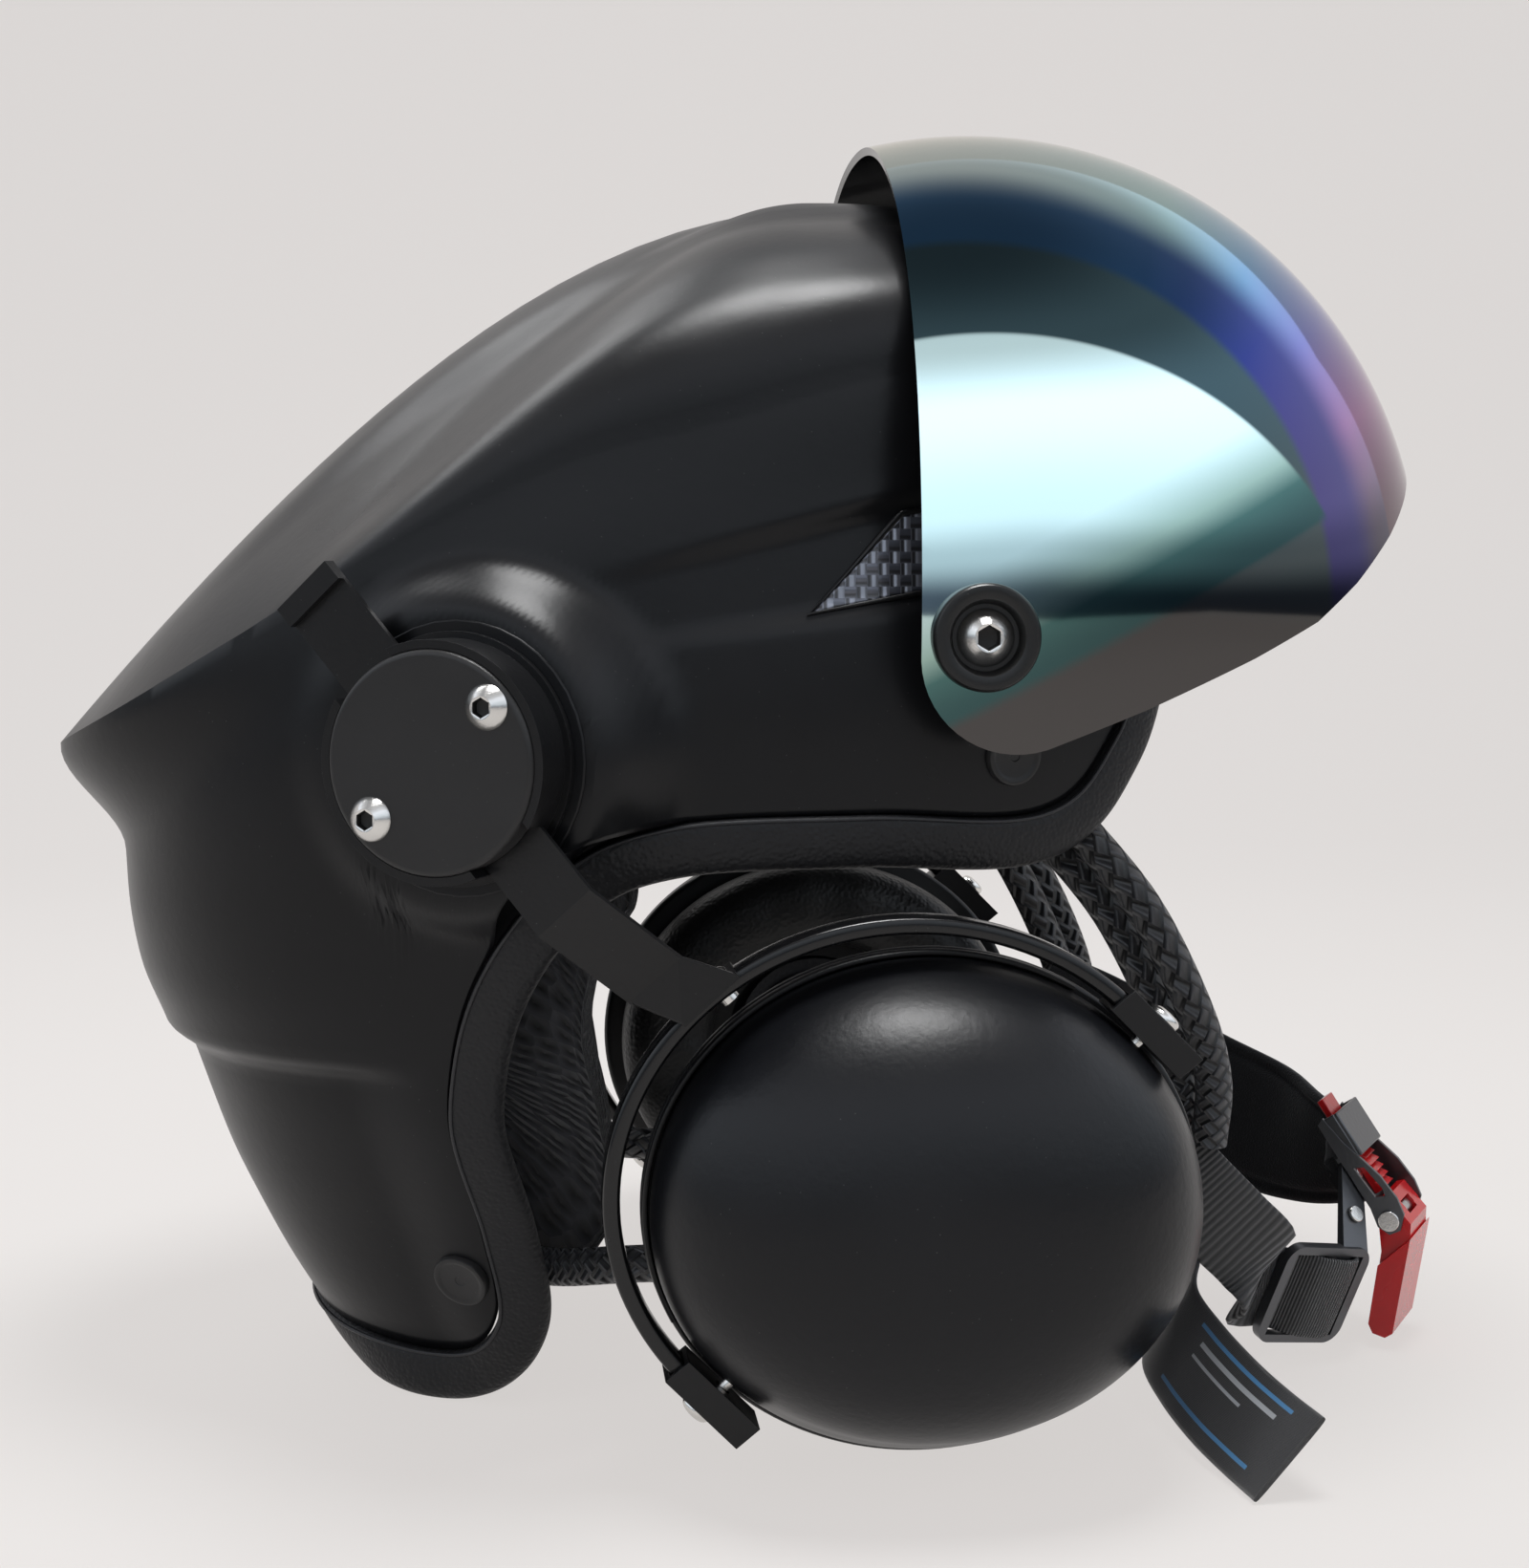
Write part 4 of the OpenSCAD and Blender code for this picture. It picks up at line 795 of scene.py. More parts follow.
cup_profile = dome_rows(58.5, 48, [math.pi / 2 * i / 40 for i in range(41)])
cup_profile += [(58.3, -0.2), (55.9, -0.2)]
cup_profile += dome_rows(55.9, 45.4, [math.pi / 2 * i / 12 for i in range(11, -1, -1)])
base_profile = [(24.2, 0), (24.2, -4), (58.9, -4), (59.7, -3.8), (60.2, -3.3), (60.35, -2.6), (60.35, -1.2),
                (60.2, -0.6), (59.8, -0.15), (59.2, 0.05), (24.2, 0)]
cushion_r = 43.1
cushion_z = -15.6
cushion_half_wide = 12.8
cushion_half_thick = 11.4


def cushion_point(u, v):
    angle = math.tau * (u % 1.0)
    turn = math.tau * v
    pleat = 0.35 * math.sin(30 * angle) * max(0.0, math.cos(turn)) ** 2 + 0.25 * math.sin(17 * angle + 1)
    seam = 1.0 - 0.10 * math.exp(-((math.sin(turn / 2 - 0.2)) ** 2) * 60)
    radial = cushion_half_wide * powered(math.cos(turn), 0.86) * seam
    height = cushion_half_thick * powered(math.sin(turn), 0.8) + pleat * abs(math.sin(turn))
    r = cushion_r - radial
    return Vector((r * math.cos(angle), r * math.sin(angle), cushion_z + height))


def sweep(path, acrosses, section, around):
    count = len(path)
    rings = []
    for i, centre in enumerate(path):
        ahead = (path[min(count - 1, i + 1)] - path[max(0, i - 1)]).normalized()
        across = square_to(acrosses[i], ahead)
        rings.append((centre, across, ahead.cross(across)))

    def point(u, v):
        k = round(v * (count + 1)) - 1
        i = max(0, min(count - 1, k))
        a, n = section(u % 1.0, i / (count - 1)) if i == k else (0.0, 0.0)
        centre, across, up = rings[i]
        return centre + (across * a + up * n)

    bm = grid_of(around, count + 1, point)
    length = sum((path[i + 1] - path[i]).length for i in range(count - 1))
    girth = [0.0]
    for j in range(around):
        step = Vector(section((j + 1) / around % 1.0, 0.5)) - Vector(section(j / around, 0.5))
        girth.append(girth[-1] + step.length)
    uv = bm.loops.layers.uv.active
    for face in bm.faces:
        for loop in face.loops:
            u, v = loop[uv].uv
            loop[uv].uv = (girth[round(u * around)] / 10, v * length / 10)
    return bm


def soft_box(u, across, thick, power):
    return across * powered(math.cos(math.tau * u), power), thick * powered(math.sin(math.tau * u), power)


yoke_r = 62.3
yoke_z = 9.5
yoke_legs = (-8, -4, 0, 4)
yoke_path = [Vector((yoke_r, y, yoke_z)) for y in yoke_legs]
for i in range(73):
    a = math.pi * i / 72
    yoke_path.append(Vector((yoke_r * math.cos(a), 7 + yoke_r * math.sin(a), yoke_z)))
yoke_path += [Vector((-yoke_r, y, yoke_z)) for y in reversed(yoke_legs)]
lip_r = 59.5
lip_turns = [math.radians(a) for a in range(16, 165, 2)]
lip_path = [Vector((lip_r * math.cos(a), lip_r * math.sin(a), 1.0)) for a in lip_turns]
bolt_head = 2.1
shank_r = 2.3
shank_thinner = 0.35
for side, sign, placed, shift in (("r", 1, cup_frame_r, clip_shift_r), ("l", -1, cup_frame_l, clip_shift_l)):
    cup = f"cup_{side}"
    yoke = f"yoke_unit_{side}"
    cup_out = placed.to_3x3() @ Vector((0, 0, 1))
    shaped = turned_part(cup_profile, placed, 160)
    for vert in shaped.verts:
        lift = ease((abs(vert.co.y) / MM - dome_start) / dome_fade)
        if vert.co.z < dome_z * MM:
            vert.co.z = dome_z * MM + (vert.co.z - dome_z * MM) * (1 - dome_flatter * lift)
        if vert.co.x < dome_x * MM:
            vert.co.x = dome_x * MM + (vert.co.x - dome_x * MM) * (1 + dome_fuller * lift)
    make_piece(f"cup_dome_{side}", shaped, cup, cup_paint, [f"cup_shell_{side}"], sharp=40)
    shaped = turned_part(base_profile, placed, 160)
    add_to(shaped, sweep([placed @ p for p in lip_path], [cup_out] * len(lip_path),
                         lambda u, t: soft_box(u, 1.75, 0.75, 0.6), 16))
    for vert in shaped.verts:
        vert.co.z = max(0.0, vert.co.z)
    make_piece(f"cup_plate_{side}", shaped, cup, base_paint, [f"cup_base_{side}"], sharp=40)
    pad_bm = grid_of(180, 48, lambda u, v: placed @ cushion_point(u, v))
    pad = make_piece(f"ear_pad_{side}", pad_bm, cup, cushion_paint, [f"cup_cushion_{side}"],
                     sharp=80)
    dress(f"cup_foam_{side}", cup, foam_paint, f"cup_filling_{side}", 0)
    dress(f"speaker_{side}", cup, speaker_paint, f"speaker_disc_{side}")
    bow = sweep([placed @ p for p in yoke_path], [cup_out] * len(yoke_path),
                lambda u, t: soft_box(u, 4.5, 2.05, 0.42), 24)
    make_piece(f"yoke_bow_{side}", bow, yoke, yoke_paint, [f"yoke_{side}"], sharp=50)
    dress(f"yoke_clips_{side}", yoke, clip_paint, f"clip_blocks_{side}", 0.5, 3, moved=shift)
    dress(f"arm_screw_{side}", yoke, steel_paint, f"yoke_bolt_{side}", 0.3, 3)
    bolts = dress(f"tilt_screws_{side}", cup, steel_paint, f"clip_bolts_{side}", 0.3, 3,
                  moved=shift)
    seat = Vector((cup_middle.x, sign * (cup_middle.y - yoke_z), cup_middle.z))
    spots = [shift.inverted() @ (vert.co / MM) - seat for vert in bolts.data.vertices]
    head_at = max(abs(spot.dot(tilt_line)) for spot in spots) - bolt_head
    for vert, spot in zip(bolts.data.vertices, spots):
        off = spot - tilt_line * spot.dot(tilt_line)
        if off.length < shank_r and abs(spot.dot(tilt_line)) < head_at:
            vert.co = (shift @ (seat + spot - off * shank_thinner)) * MM


# Visor: one thermoformed mirror-coated sheet 2 mm thick, wrapped round the face from side to side and cut
# to a sharp outline, held at each side by a ring washer and a stainless button-head screw.
visor_axis = (51, 196)
visor_r = 118
visor_half = 110
visor_power = 2.2
visor_thick = 2
corner_x = 45.5
corner_z = 184.76
corner_r = 22
visor_cuts = []
for degrees in range(186, 294, 7):
    c, s = polar(degrees)
    visor_cuts.append((Vector((corner_x + corner_r * c, 0, corner_z + corner_r * s)), Vector((c, 0, s))))
visor_cuts.append((Vector((23.5, 0, 200)), Vector((-1, 0, 0))))
visor_low = [(54.1, 164.5), (75, 172.6), (101, 183.7), (118, 191.8), (130, 200.7), (142.4, 212),
             (151.3, 221.4), (170, 243)]
for (xa, za), (xb, zb) in zip(visor_low, visor_low[1:]):
    visor_cuts.append((Vector((xa, 0, za)), Vector((zb - za, 0, xa - xb)).normalized()))


def visor_place(u, v):
    a = math.pi * (v - 0.5)
    r = visor_r * max(0.0, math.cos(a)) ** (2 / visor_power)
    y = visor_half * powered(math.sin(a), 2 / visor_power)
    angle = math.tau * (u % 1.0)
    return Vector((visor_axis[0] + r * math.cos(angle), y, visor_axis[1] + r * math.sin(angle)))


def visor_normal(p):
    x, y, z = p.x / MM - visor_axis[0], p.y / MM, p.z / MM - visor_axis[1]
    r = math.hypot(x, z)
    pull = (r / visor_r) ** (visor_power - 1) / visor_r / max(r, 1e-6)
    side = powered(y / visor_half, visor_power - 1) / visor_half
    return Vector((x * pull, side, z * pull)).normalized()


def all_of(bm):
    return bm.verts[:] + bm.edges[:] + bm.faces[:]


visor_bm = grid_of(256, 110, visor_place)
point_out(visor_bm, (51, 0, 196))
for place, out in visor_cuts:
    bmesh.ops.bisect_plane(visor_bm, geom=all_of(visor_bm), plane_co=place * MM, plane_no=out,
                           clear_outer=True, dist=1e-7)
bmesh.ops.dissolve_degenerate(visor_bm, dist=0.05 * MM, edges=visor_bm.edges[:])
visor_copy = bmesh.ops.duplicate(visor_bm, geom=all_of(visor_bm))["geom"]
visor_back = [item for item in visor_copy if isinstance(item, bmesh.types.BMFace)]
for vert in [item for item in visor_copy if isinstance(item, bmesh.types.BMVert)]:
    vert.co -= visor_normal(vert.co) * visor_thick * MM
bmesh.ops.reverse_faces(visor_bm, faces=visor_back)
visor_open = [edge for edge in visor_bm.edges if edge.is_boundary]
visor_rim = bmesh.ops.bridge_loops(visor_bm, edges=visor_open)["faces"]
for face in visor_back + visor_rim:
    face.material_index = 1
bmesh.ops.recalc_face_normals(visor_bm, faces=visor_bm.faces[:])


def measure(source, low, high):
    return add_node(source.id_data, "MapRange", {"Value": source, "From Min": low, "From Max": high},
                    interpolation_type="SMOOTHSTEP").outputs["Result"]


def round_edge(x, z, radius, soft):
    dx = calc("SUBTRACT", visor_spot["X"], x)
    dz = calc("SUBTRACT", visor_spot["Z"], z)
    away = calc("SQRT", calc("ADD", calc("MULTIPLY", dx, dx), calc("MULTIPLY", dz, dz)))
    return measure(away, radius - soft, radius + soft)


# The mirror's base colour is painted reflection, laid out by place on the sheet. It has a pale cyan painted
# sky reflection on the near flank, dark teal painted shade reflection round it, and a dark blue painted
# reflection band above it. Along the crest are the coating's rose, violet, blue and gold tints with painted
# reflection in them, and below the pivot line a grey painted reflection.
visor_paint = make_material("visor_mirror", (0.3, 0.5, 0.7), 0.06, metallic=1.0)
visor_object = object_place(visor_paint.node_tree)
visor_spot = add_node(visor_paint.node_tree, "SeparateXYZ", {"Vector": visor_object}).outputs
visor_turn = calc("ARCTAN2", calc("SUBTRACT", visor_spot["Z"], visor_axis[1] * MM),
                  calc("SUBTRACT", visor_spot["X"], visor_axis[0] * MM))
low_side = calc("SUBTRACT", visor_spot["Z"], calc("ADD", calc("MULTIPLY", visor_spot["X"], 0.52), 0.1534))
crest_place = measure(visor_turn, 0.1, 1.75)
# Crest: the coating's tints with painted reflection in them, rose and violet to the front, blue and teal over
# the top, pink to gold near the middle.
crest = colour_steps(crest_place, [
    (0.0, (0.16, 0.12, 0.13)), (0.14, (0.34, 0.17, 0.33)), (0.32, (0.17, 0.18, 0.46)),
    (0.52, (0.13, 0.29, 0.47)), (0.72, (0.27, 0.42, 0.42)), (1.0, (0.36, 0.41, 0.38))])
crest_middle = colour_steps(crest_place, [
    (0.0, (0.30, 0.16, 0.22)), (0.25, (0.52, 0.27, 0.44)), (0.55, (0.40, 0.48, 0.42)),
    (1.0, (0.60, 0.55, 0.38))])
crest = mix_colours(measure(calc("ABSOLUTE", visor_spot["Y"]), 0.052, 0.012), crest, crest_middle)
# Painted sky reflection: pale cyan, brightening upwards from the sloping line on the flank.
painted_sky_reflection = colour_steps(measure(low_side, 0.0, 0.046), [
    (0.0, (0.05, 0.10, 0.10)), (0.16, (0.08, 0.17, 0.16)), (0.34, (0.36, 0.52, 0.46)),
    (0.75, (0.74, 0.97, 0.97))])
# Painted shade reflection: dark teal-grey.
shade = colour_steps(measure(visor_turn, -0.6, 0.9), [
    (0.0, (0.05, 0.085, 0.085)), (0.5, (0.11, 0.12, 0.115)), (1.0, (0.05, 0.09, 0.105))])
# A dark blue band of painted reflection from a dark overhead.
band = colour_steps(measure(visor_turn, 0.2, 1.8), [
    (0.0, (0.10, 0.08, 0.20)), (0.35, (0.03, 0.045, 0.20)), (0.7, (0.02, 0.06, 0.14)),
    (1.0, (0.045, 0.12, 0.22))])
# The arc that bounds the painted sky reflection; outside it the painted shade reflection.
sky_reflection_arc = round_edge(0.041, 0.157, 0.099, 0.0008)
visor_colour = mix_colours(measure(low_side, -0.0008, 0.0008), shade, painted_sky_reflection)
visor_colour = mix_colours(sky_reflection_arc, visor_colour, shade)
visor_colour = mix_colours(round_edge(0.037, 0.193, 0.085, 0.0015), visor_colour, band)
visor_colour = mix_colours(round_edge(0.037, 0.196, 0.098, 0.005), visor_colour, crest)
# Below the pivot line the visor is a flat grey painted reflection.
visor_colour = mix_colours(measure(visor_turn, -0.10, 0.12), (0.085, 0.08, 0.078), visor_colour)
# On the near flank, inside the arc and above the sloping line, the painted sky reflection shows.
flank_sky_reflection = calc("MULTIPLY", measure(low_side, -0.002, 0.002), calc("SUBTRACT", 1.0, sky_reflection_arc))
feed(visor_paint, "Base Color", mix_colours(flank_sky_reflection, visor_colour, painted_sky_reflection))
visor_inside = plain_finish("visor_smoke", (0.02, 0.022, 0.026), 0.12, grain=60.0, depth=0.02, level=0.6)
visor = make_piece("visor_sheet", visor_bm, "visor_unit", visor_paint, ["visor"], sharp=50)
visor.data.materials.append(visor_inside)
unlit = bpy.data.collections.new("not_lit_by_top")
unlit.objects.link(visor)
unlit.collection_objects[0].light_linking.link_state = "EXCLUDE"
bpy.data.objects["lamp_top"].light_linking.receiver_collection = unlit
washer_paint = plain_finish("washer_black", (0.009, 0.009, 0.009), 0.3, depth=0.12, level=0.35)
pivot = frame_at((37, -110, 189), (1, 0, 0), (0, -1, 0))
washer_floor = 1.8
washer_profile = [(2.6, washer_floor), (2.6, 0), (11.3, 0), (11.8, 0.3), (12, 0.8), (12, 3.9), (11.8, 4.5),
                  (11.4, 4.9), (10.9, 5), (8.8, 5), (8.5, 4.85), (8.3, 4.5), (7.7, 2.2), (7.4, washer_floor),
                  (2.6, washer_floor)]
washer_bm = turned_part(washer_profile, pivot, 120)
add_to(washer_bm, turned_part(washer_profile, mirrored(pivot), 120))
make_piece("pivot_washers", washer_bm, "visor_unit", washer_paint, ["visor_washers"], sharp=30)
screw_seat = Matrix.Translation(Vector((0, 0, washer_floor)))
add_screws("pivot_bolts", "helmet", [pivot @ screw_seat, mirrored(pivot) @ screw_seat], 6.4, 4.2, 2.6,
           ["visor_screws"])
dress("visor_bases", "helmet", mount_paint, "pivot_bases", 0.4)


# Vent grilles: stamped plates with a silver plain-weave look, set in the scoop on each side, with a thin
# dark rim where the shell is rolled round them.
grille_corners = (Vector((0, 0, 194)), Vector((21.5, 0, 216)), Vector((41.5, 0, 219)), Vector((36, 0, 201)))


def wall_at(x, z, lift):
    phi = 70.0
    for _ in range(30):
        phi += (at_wall(phi, z, 1).x - x) * 0.5
    return at_wall(phi, z, 1) + wall_normal(phi, z) * lift


def grille_place(u, v, lift, grow=0.0):
    a, b, c, d = grille_corners
    flat = (a * (1 - u) + d * u) * (1 - v) + (b * (1 - u) + c * u) * v
    flat = flat + (flat - (a + b + c + d) / 4).normalized() * grow
    return wall_at(flat.x, flat.z, lift)


def both_sides(bm):
    other = bm.copy()
    bmesh.ops.scale(other, vec=(1, -1, 1), verts=other.verts[:])
    bmesh.ops.reverse_faces(other, faces=other.faces[:])
    add_to(bm, other)
    return bm


def plain_weave(place, axes):
    tree = place.id_data
    check = add_node(tree, "TexChecker", {"Vector": place, "Scale": 1.0}).outputs["Fac"]
    warp, weft = [add_node(tree, "TexWave", {
        "Vector": place, "Scale": math.pi / 10, "Phase Offset": -math.pi / 2},
        bands_direction=axis).outputs["Fac"] for axis in axes]
    return check, add_node(tree, "Mix", {"Factor": check, "A": warp, "B": weft}).outputs["Result"]


weave_paint = make_material("vent_weave", (0.2, 0.21, 0.22), 0.3, metallic=0.6, coat=0.4)
weave_place = object_place(weave_paint.node_tree)
weave_size = add_node(weave_paint.node_tree, "Mapping", {
    "Vector": weave_place, "Scale": (385, 0, 385), "Location": (0, 0.5, 0)})
weave_check, weave_height = plain_weave(weave_size.outputs["Vector"], "XZ")
weave_tone = mix_colours(weave_check, (0.26, 0.275, 0.32), (0.11, 0.118, 0.145))
feed(weave_paint, "Normal", bumped(weave_height, 0.5, 0.0005))
# The plate is darker in the hollows of the weave: painted shade.
feed(weave_paint, "Base Color", mix_colours(measure(weave_height, 0.0, 0.5), (0.05, 0.05, 0.055), weave_tone))
grille_bm = grid_of(24, 24, lambda u, v: grille_place(u, v, 0.55), closed=False)
point_out(grille_bm, (20, 0, 205))
grille = make_piece("vent_plates", both_sides(grille_bm), "helmet", weave_paint, ["vent_grilles"],
                    sharp=60)
thicken(grille, 1.4)
rim_steps = 48
rim_places = []
for i in range(rim_steps):
    side, step = divmod(i, rim_steps // 4)
    share = step / (rim_steps // 4)
    rim_places.append(((share, 0), (1, share), (1 - share, 1), (0, 1 - share))[side])


def rim_point(u, v):
    across, down = rim_places[round(u * rim_steps) % rim_steps]
    return grille_place(across, down, 0.35 + 0.6 * math.sin(math.tau * v), 0.5 + 0.8 * math.cos(math.tau * v))


rim_bm = both_sides(grid_of(rim_steps, 8, rim_point))
make_piece("vent_rims", rim_bm, "helmet", mount_paint, sharp=80)


# Strap plugs: flat moulded caps with a shallow dish, pressed over the strap fixing holes, two on each side.
# Each is named by its angle round the shell and its share of the shell's height.
plug_places = ((118.5, 0.118), (44.5, 0.545))
plug_profile = [(0, -0.6), (7.0, -0.6), (7.0, 0.9), (6.8, 1.3), (6.4, 1.4), (5.8, 1.35), (5.4, 1.1),
                (4.9, 1.0), (1.4, 0.95), (1.2, 0.75), (0, 0.7)]
plug_bm = bmesh.new()
for phi, share in plug_places:
    z = share * crown_z
    placed = frame_at(at_wall(phi, z, 1), (1, 0, 0), wall_normal(phi, z))
    add_to(plug_bm, turned_part(plug_profile, placed, 64))
make_piece("plug_caps", both_sides(plug_bm), "helmet", cover_paint, ["strap_plugs"], sharp=40)


# Strap sleeves: the retention cords run inside round sleeves of braided black polyester, a pair at each
# brow and one low along each side to the nape. Rivets in the shell hold their ends.
def run_through(points, parts):
    points = [Vector(p) for p in points]
    ends = [2 * points[0] - points[1]] + points + [2 * points[-1] - points[-2]]
    made = []
    for i in range(1, len(ends) - 2):
        for j in range(parts):
            made.append(between(ends[i - 1], ends[i], ends[i + 1], ends[i + 2], j / parts))
    made.append(points[-1])
    return made


def leaning(count, start, end, first, span):
    return [start.lerp(end, ease((i - first) / span)) for i in range(count)]


sleeve_colour = (0.010, 0.010, 0.011)
sleeve_paint = make_material("sleeve_braid", sleeve_colour, 0.38, sheen=0.2)
braid_place = uv_place(sleeve_paint.node_tree)
braid_size = add_node(sleeve_paint.node_tree, "Mapping", {
    "Vector": braid_place, "Rotation": (0, 0, math.radians(45)), "Scale": (3.0, 3.0, 1)})
braid_height = plain_weave(braid_size.outputs["Vector"], "XY")[1]
feed(sleeve_paint, "Normal", bumped(braid_height, 1.0, 0.0014))
# The braid's base colour is painted light: the raised strands are a painted highlight, paler than the black
# thread, and the hollows between them are painted shade.
feed(sleeve_paint, "Base Color",
     mix_colours(braid_height, tuple(tone * 0.25 for tone in sleeve_colour), (0.032, 0.033, 0.037)))
front_path = [(61, -68.5, 152), (67, -69.5, 144), (84, -71.5, 123), (97, -71, 98), (102.5, -69.5, 80),
              (102, -68, 64)]
rear_path = [(-69.6, -58, 37.4), (-62, -60.5, 36.4), (-54, -62, 36), (-40, -62.5, 36.5), (-15, -59.5, 36),
             (20, -60, 40), (50, -61, 52), (74, -60.4, 63), (90.2, -60.4, 66)]
second_sleeve = Vector((-6.5, 7.6, -2))
sleeve_r = 4.5


def sleeve_of(points):
    path = run_through(points, 8)
    return sweep(path, [Vector((0.3, 1, 0.2))] * len(path),
                 lambda u, t: (sleeve_r * math.cos(math.tau * u), sleeve_r * math.sin(math.tau * u)), 28)


front_bm = sleeve_of(front_path)
add_to(front_bm, sleeve_of([Vector(p) + second_sleeve for p in front_path]))
for name, sleeve_bm, node in (("brow_sleeves", front_bm, "front_sleeves"),
                              ("nape_sleeves", sleeve_of(rear_path), "rear_sleeves")):
    make_piece(name, both_sides(sleeve_bm), "helmet", sleeve_paint, [node], sharp=70)
dress("strap_rivets", "helmet", steel_paint, "anchor_rivets", 0.4, 3)


# Side webbing: flat black polyester with fine ribs across it, from the right brow straps into the slotted
# frame, and turned back through its slots.
frame_c = Vector((137, -44, 18))
frame_x = Vector((0.87, 0.45, -0.18)).normalized()
frame_y = square_to(Vector((-0.46, 0.1, -0.88)), frame_x)
frame_z = frame_x.cross(frame_y)
web_paint = make_material("webbing_black", (0.02, 0.02, 0.02), 0.6, sheen=0.3)
web_place = uv_place(web_paint.node_tree)
web_rib = add_node(web_paint.node_tree, "TexWave", {
    "Vector": web_place, "Scale": 3.0, "Distortion": 0.3}, bands_direction="Y").outputs["Fac"]
feed(web_paint, "Normal", bumped(web_rib, 0.8, 0.0005))
# The webbing's base colour is painted light: darker in the grooves between ribs as painted shade, lighter on
# the rib tops as a painted highlight.
feed(web_paint, "Base Color",
     colour_steps(web_rib, [(0.1, (0.006, 0.006, 0.006)), (0.7, (0.03, 0.03, 0.031))]))
web_route = [(93, -66, 58), (100, -65.5, 50.5), (109, -63, 41.5), (119, -58, 31)]
web_in = [(-19, 3), (-13.5, 2.9), (-8.4, 1.7), (-3.4, -1.5), (2, -2.7), (7.6, -2.6), (10.4, -0.2), (8.6, 2.5),
          (3, 2.9), (-0.5, 3)]
web_points = [Vector(p) for p in web_route] + [frame_c + a * frame_x + h * frame_z for a, h in web_in]
web_run = run_through(web_points, 6)
web_across = leaning(len(web_run), Vector((-0.45, 0.15, -0.85)), frame_y, 15, 12)
web_bm = sweep(web_run, web_across, lambda u, t: soft_box(u, 11.5, 0.95, 0.45), 20)
make_piece("side_strap", web_bm, "helmet", web_paint, ["side_webbing"], sharp=70)


# Chin strap: a padded strap covered in short-napped black suede cloth with a stitched edge, wide under the
# jaw and narrowing to the ratchet buckle.
buckle_c = Vector((160, -24, 43))
buckle_x = Vector((0.48, -0.3, -0.82)).normalized()
buckle_y = square_to(Vector((0.45, 0.88, 0.16)), buckle_x)
buckle_z = buckle_x.cross(buckle_y)


def at_buckle(a, b, h):
    return buckle_c + a * buckle_x + b * buckle_y + h * buckle_z


suede_paint = make_material("chin_suede", (0.02, 0.02, 0.021), 0.85, level=0.2, sheen=0.4)
add_dust(suede_paint, (0.009, 0.009, 0.010), (0.07, 0.07, 0.075), 700.0, 0.75, 0.95)
add_grain(suede_paint, 2600.0, 0.8, 0.4)
chin_path = [(84, 53.2, 78), (96, 51.2, 71), (109, 47, 63.5), (129, 35, 53), (143, 18.5, 47.3),
             (151.5, 4, 44.5), at_buckle(-5.5, 12.5, -7.4), at_buckle(-4, 3, -5.5),
             at_buckle(-3, -7, -5.5)]
chin_half = 19
chin_shares = list(enumerate([0.84, 0.95, 1, 1, 0.97, 0.84, 0.66, 0.5, 0.36]))
chin_run = run_through(chin_path, 9)
chin_across = leaning(len(chin_run), Vector((-0.36, 0.05, -0.93)), buckle_x, 33, 27)


def chin_section(u, t):
    half = chin_half * through(chin_shares, t * 8)
    a, n = soft_box(u, half, 2.6, 0.62)
    welt = 1 - 0.45 * math.exp(-((abs(a) - half + 3.2) / 0.9) ** 2)
    return a, n * welt


chin_bm = sweep(chin_run, chin_across, chin_section, 64)
chin = make_piece("chin_pad", chin_bm, "helmet", suede_paint, ["chin_strap"], sharp=80)


# Ratchet buckle: a stamped gunmetal body and slotted frame joined by rivets, a red toothed ladder in it under
# a folded gunmetal guard, and a red thumb lever on a pin with a return spring.
gun_paint = plain_finish("gunmetal", (0.10, 0.102, 0.108), 0.33, grain=800.0, depth=0.12, metallic=0.9,
                         dusty=(0.2, 0.2, 0.2))
red_paint = plain_finish("lever_red", (0.62, 0.010, 0.012), 0.28, grain=500.0, depth=0.10, coat=0.3,
                         dusty=(0.6, 0.2, 0.2))
spring_paint = plain_finish("spring_steel", (0.5, 0.5, 0.5), 0.3, depth=0.1, metallic=1.0)
for node, body, paint, slot, name, bevel, segments in (
        ("buckle_body", "helmet", gun_paint, "buckle_grey", "buckle_plates", 0.4, 3),
        ("buckle_frame", "helmet", gun_paint, "buckle_grey", "ladder_frame", 0.5, 3),
        ("buckle_rivets", "helmet", steel_paint, "rivet_steel", "buckle_studs", 0.25, 2),
        ("ladder", "helmet", red_paint, "buckle_red", "ladder_strap", 0.2, 2),
        ("buckle_lever", "lever", red_paint, "buckle_red", "thumb_lever", 0.5, 3),
        ("lever_pin", "helmet", steel_paint, "rivet_steel", "lever_axle", 0.2, 2),
        ("lever_spring", "helmet", spring_paint, "rivet_steel", "return_spring", 0, 2)):
    dress(node, body, paint, name, bevel, segments)
guard_boxes = (((-19.5, -10.6, 3.5), (-7.0, 10.6, 4.6)), ((-19.5, -10.6, 0.2), (-7.0, -9.5, 3.6)),
               ((-19.5, 9.5, 0.2), (-7.0, 10.6, 3.6)))
guard_bm = bmesh.new()
for low, high in guard_boxes:
    for vert in bmesh.ops.create_cube(guard_bm, size=1)["verts"]:
        vert.co = at_buckle(*[blend_to(lo, hi, c + 0.5) for lo, hi, c in zip(low, high, vert.co)]) * MM
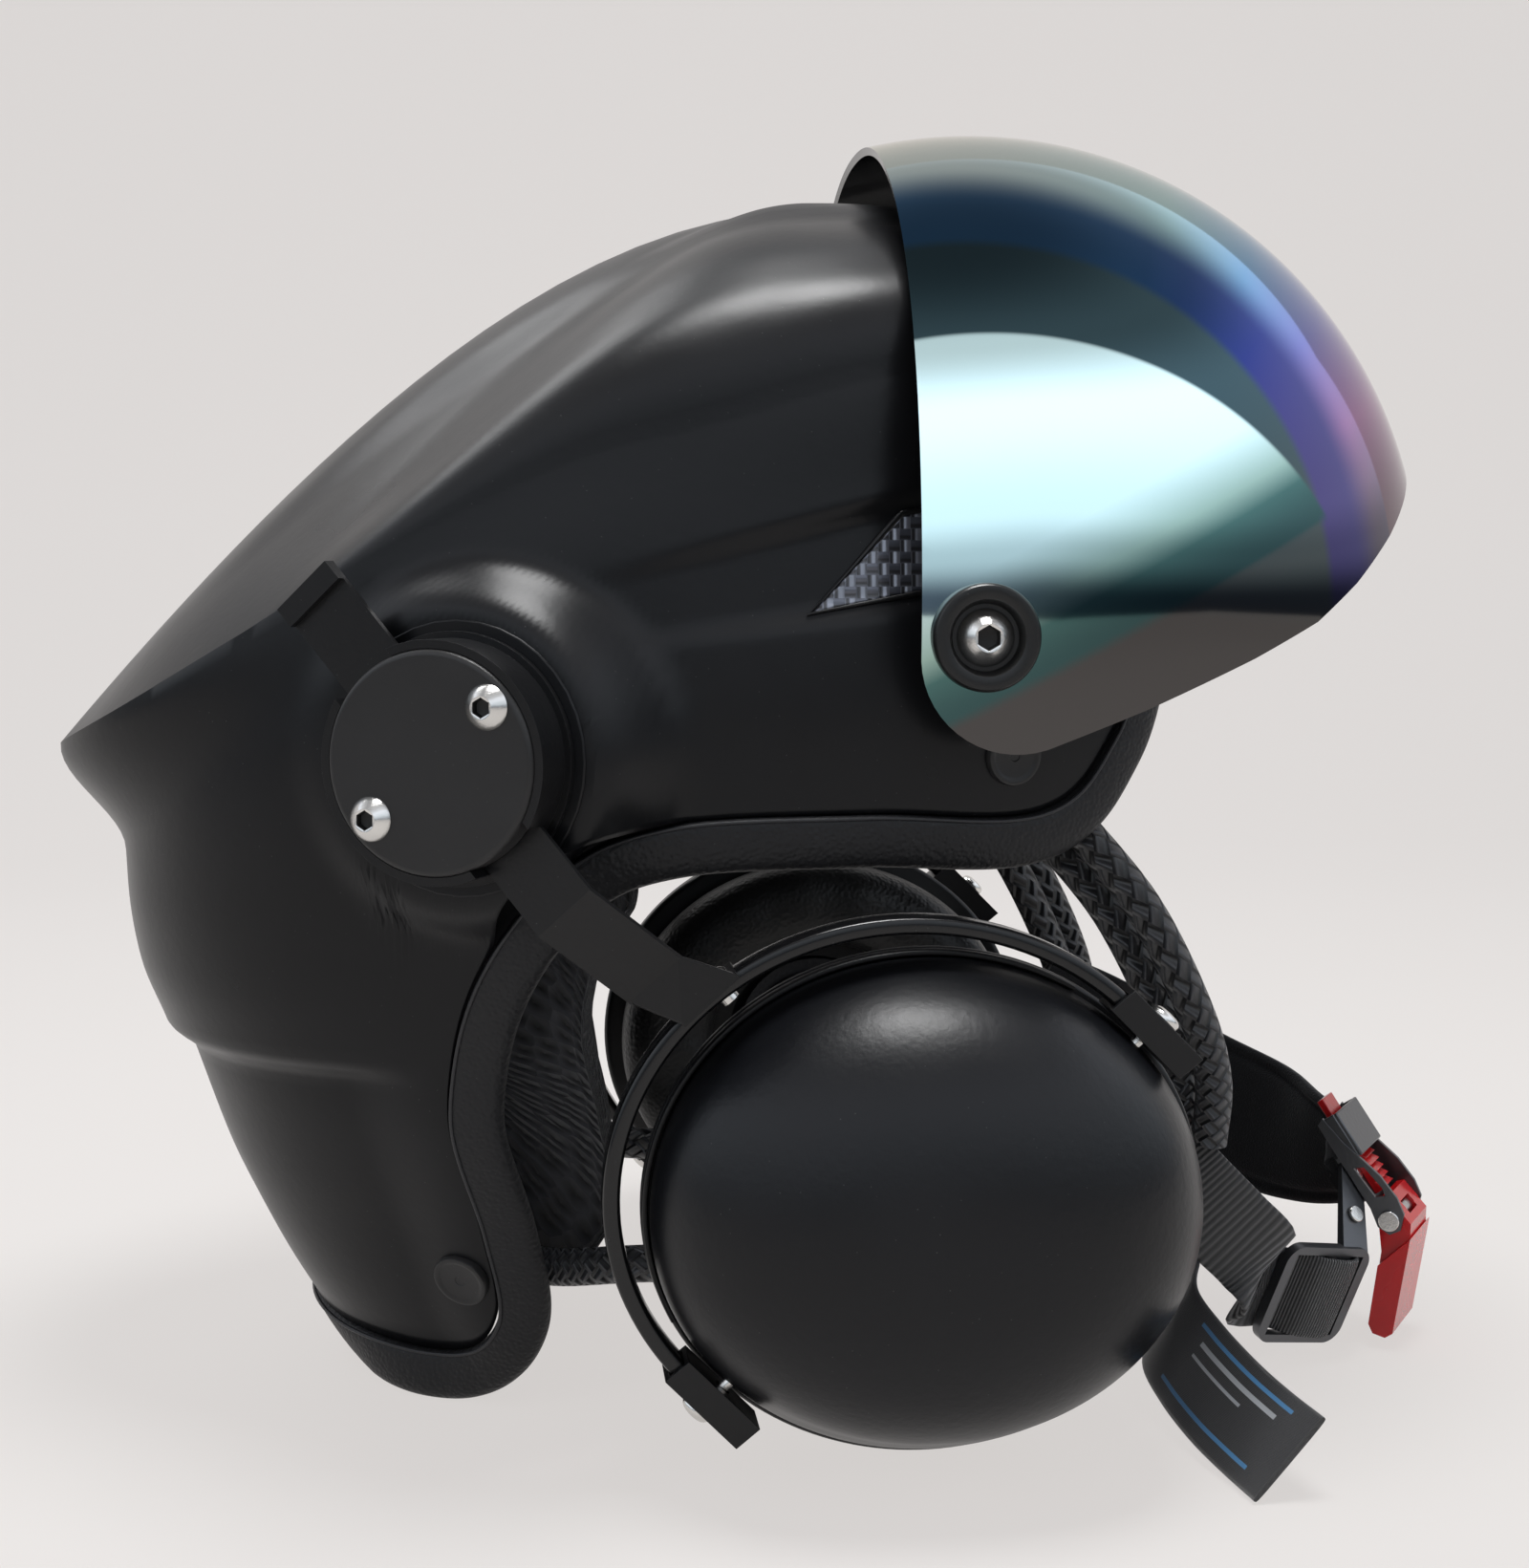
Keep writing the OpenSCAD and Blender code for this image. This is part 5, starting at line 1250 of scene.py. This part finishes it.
guard = make_piece("ladder_guard", guard_bm, "helmet", gun_paint, sharp=30)
soften(guard, 0.35, 2, 30)


# Care label: a folded loop of black satin ribbon sewn to the side strap, with plain woven colour bars.
# A bar is given by its place across and along the ribbon in centimetres, and its colour. Each face has four.
label_path = [(97.4, -56.6, 23), (92.8, -70, 18.5), (93.5, -86, 15), (96, -104, 12), (99, -120, 10.2),
              (101.5, -135, 9.6)]
label_run = run_through(label_path, 8)
label_across = leaning(len(label_run), Vector((-0.49, 0, -0.87)), Vector((-0.565, -0.457, -0.69)), 0, 32)
label_bm = sweep(label_run, label_across, lambda u, t: soft_box(u, 12, 0.75, 0.4), 20)
blue_thread = (0.05, 0.22, 0.45)
grey_thread = (0.42, 0.44, 0.46)
label_bars = ((0.30, 0.40, 2.8, 7.0, blue_thread), (0.62, 0.74, 3.2, 6.6, grey_thread),
              (0.98, 1.06, 3.2, 5.4, grey_thread), (1.90, 2.00, 2.8, 7.0, blue_thread))
label_faces = (0.0, 2.5)
satin_paint = make_material("label_satin", (0.02, 0.02, 0.02), 0.35, sheen=0.4)
satin_place = uv_place(satin_paint.node_tree)
satin_spot = add_node(satin_paint.node_tree, "SeparateXYZ", {"Vector": satin_place}).outputs
satin_weave = add_node(satin_paint.node_tree, "TexWave", {"Vector": satin_place, "Scale": 9.0},
                       bands_direction="Y").outputs["Fac"]
feed(satin_paint, "Normal", bumped(satin_weave, 0.3, 0.0002))
# The ribbon's stripes are painted light: darker in the weave's grooves as painted shade, lighter on its
# ridges as a painted sheen.
satin_colour = colour_steps(satin_weave, [(0.2, (0.010, 0.010, 0.011)), (0.8, (0.022, 0.022, 0.024))])


def inside(source, low, high):
    return calc("MULTIPLY", calc("GREATER_THAN", source, low), calc("LESS_THAN", source, high))


for start in label_faces:
    for low, high, first, last, colour in label_bars:
        bar = calc("MULTIPLY", inside(satin_spot["X"], start + low, start + high),
                   inside(satin_spot["Y"], first, last))
        satin_colour = mix_colours(bar, satin_colour, colour)
feed(satin_paint, "Base Color", satin_colour)
label = make_piece("label_ribbon", label_bm, "helmet", satin_paint, ["label_loop"], sharp=70)
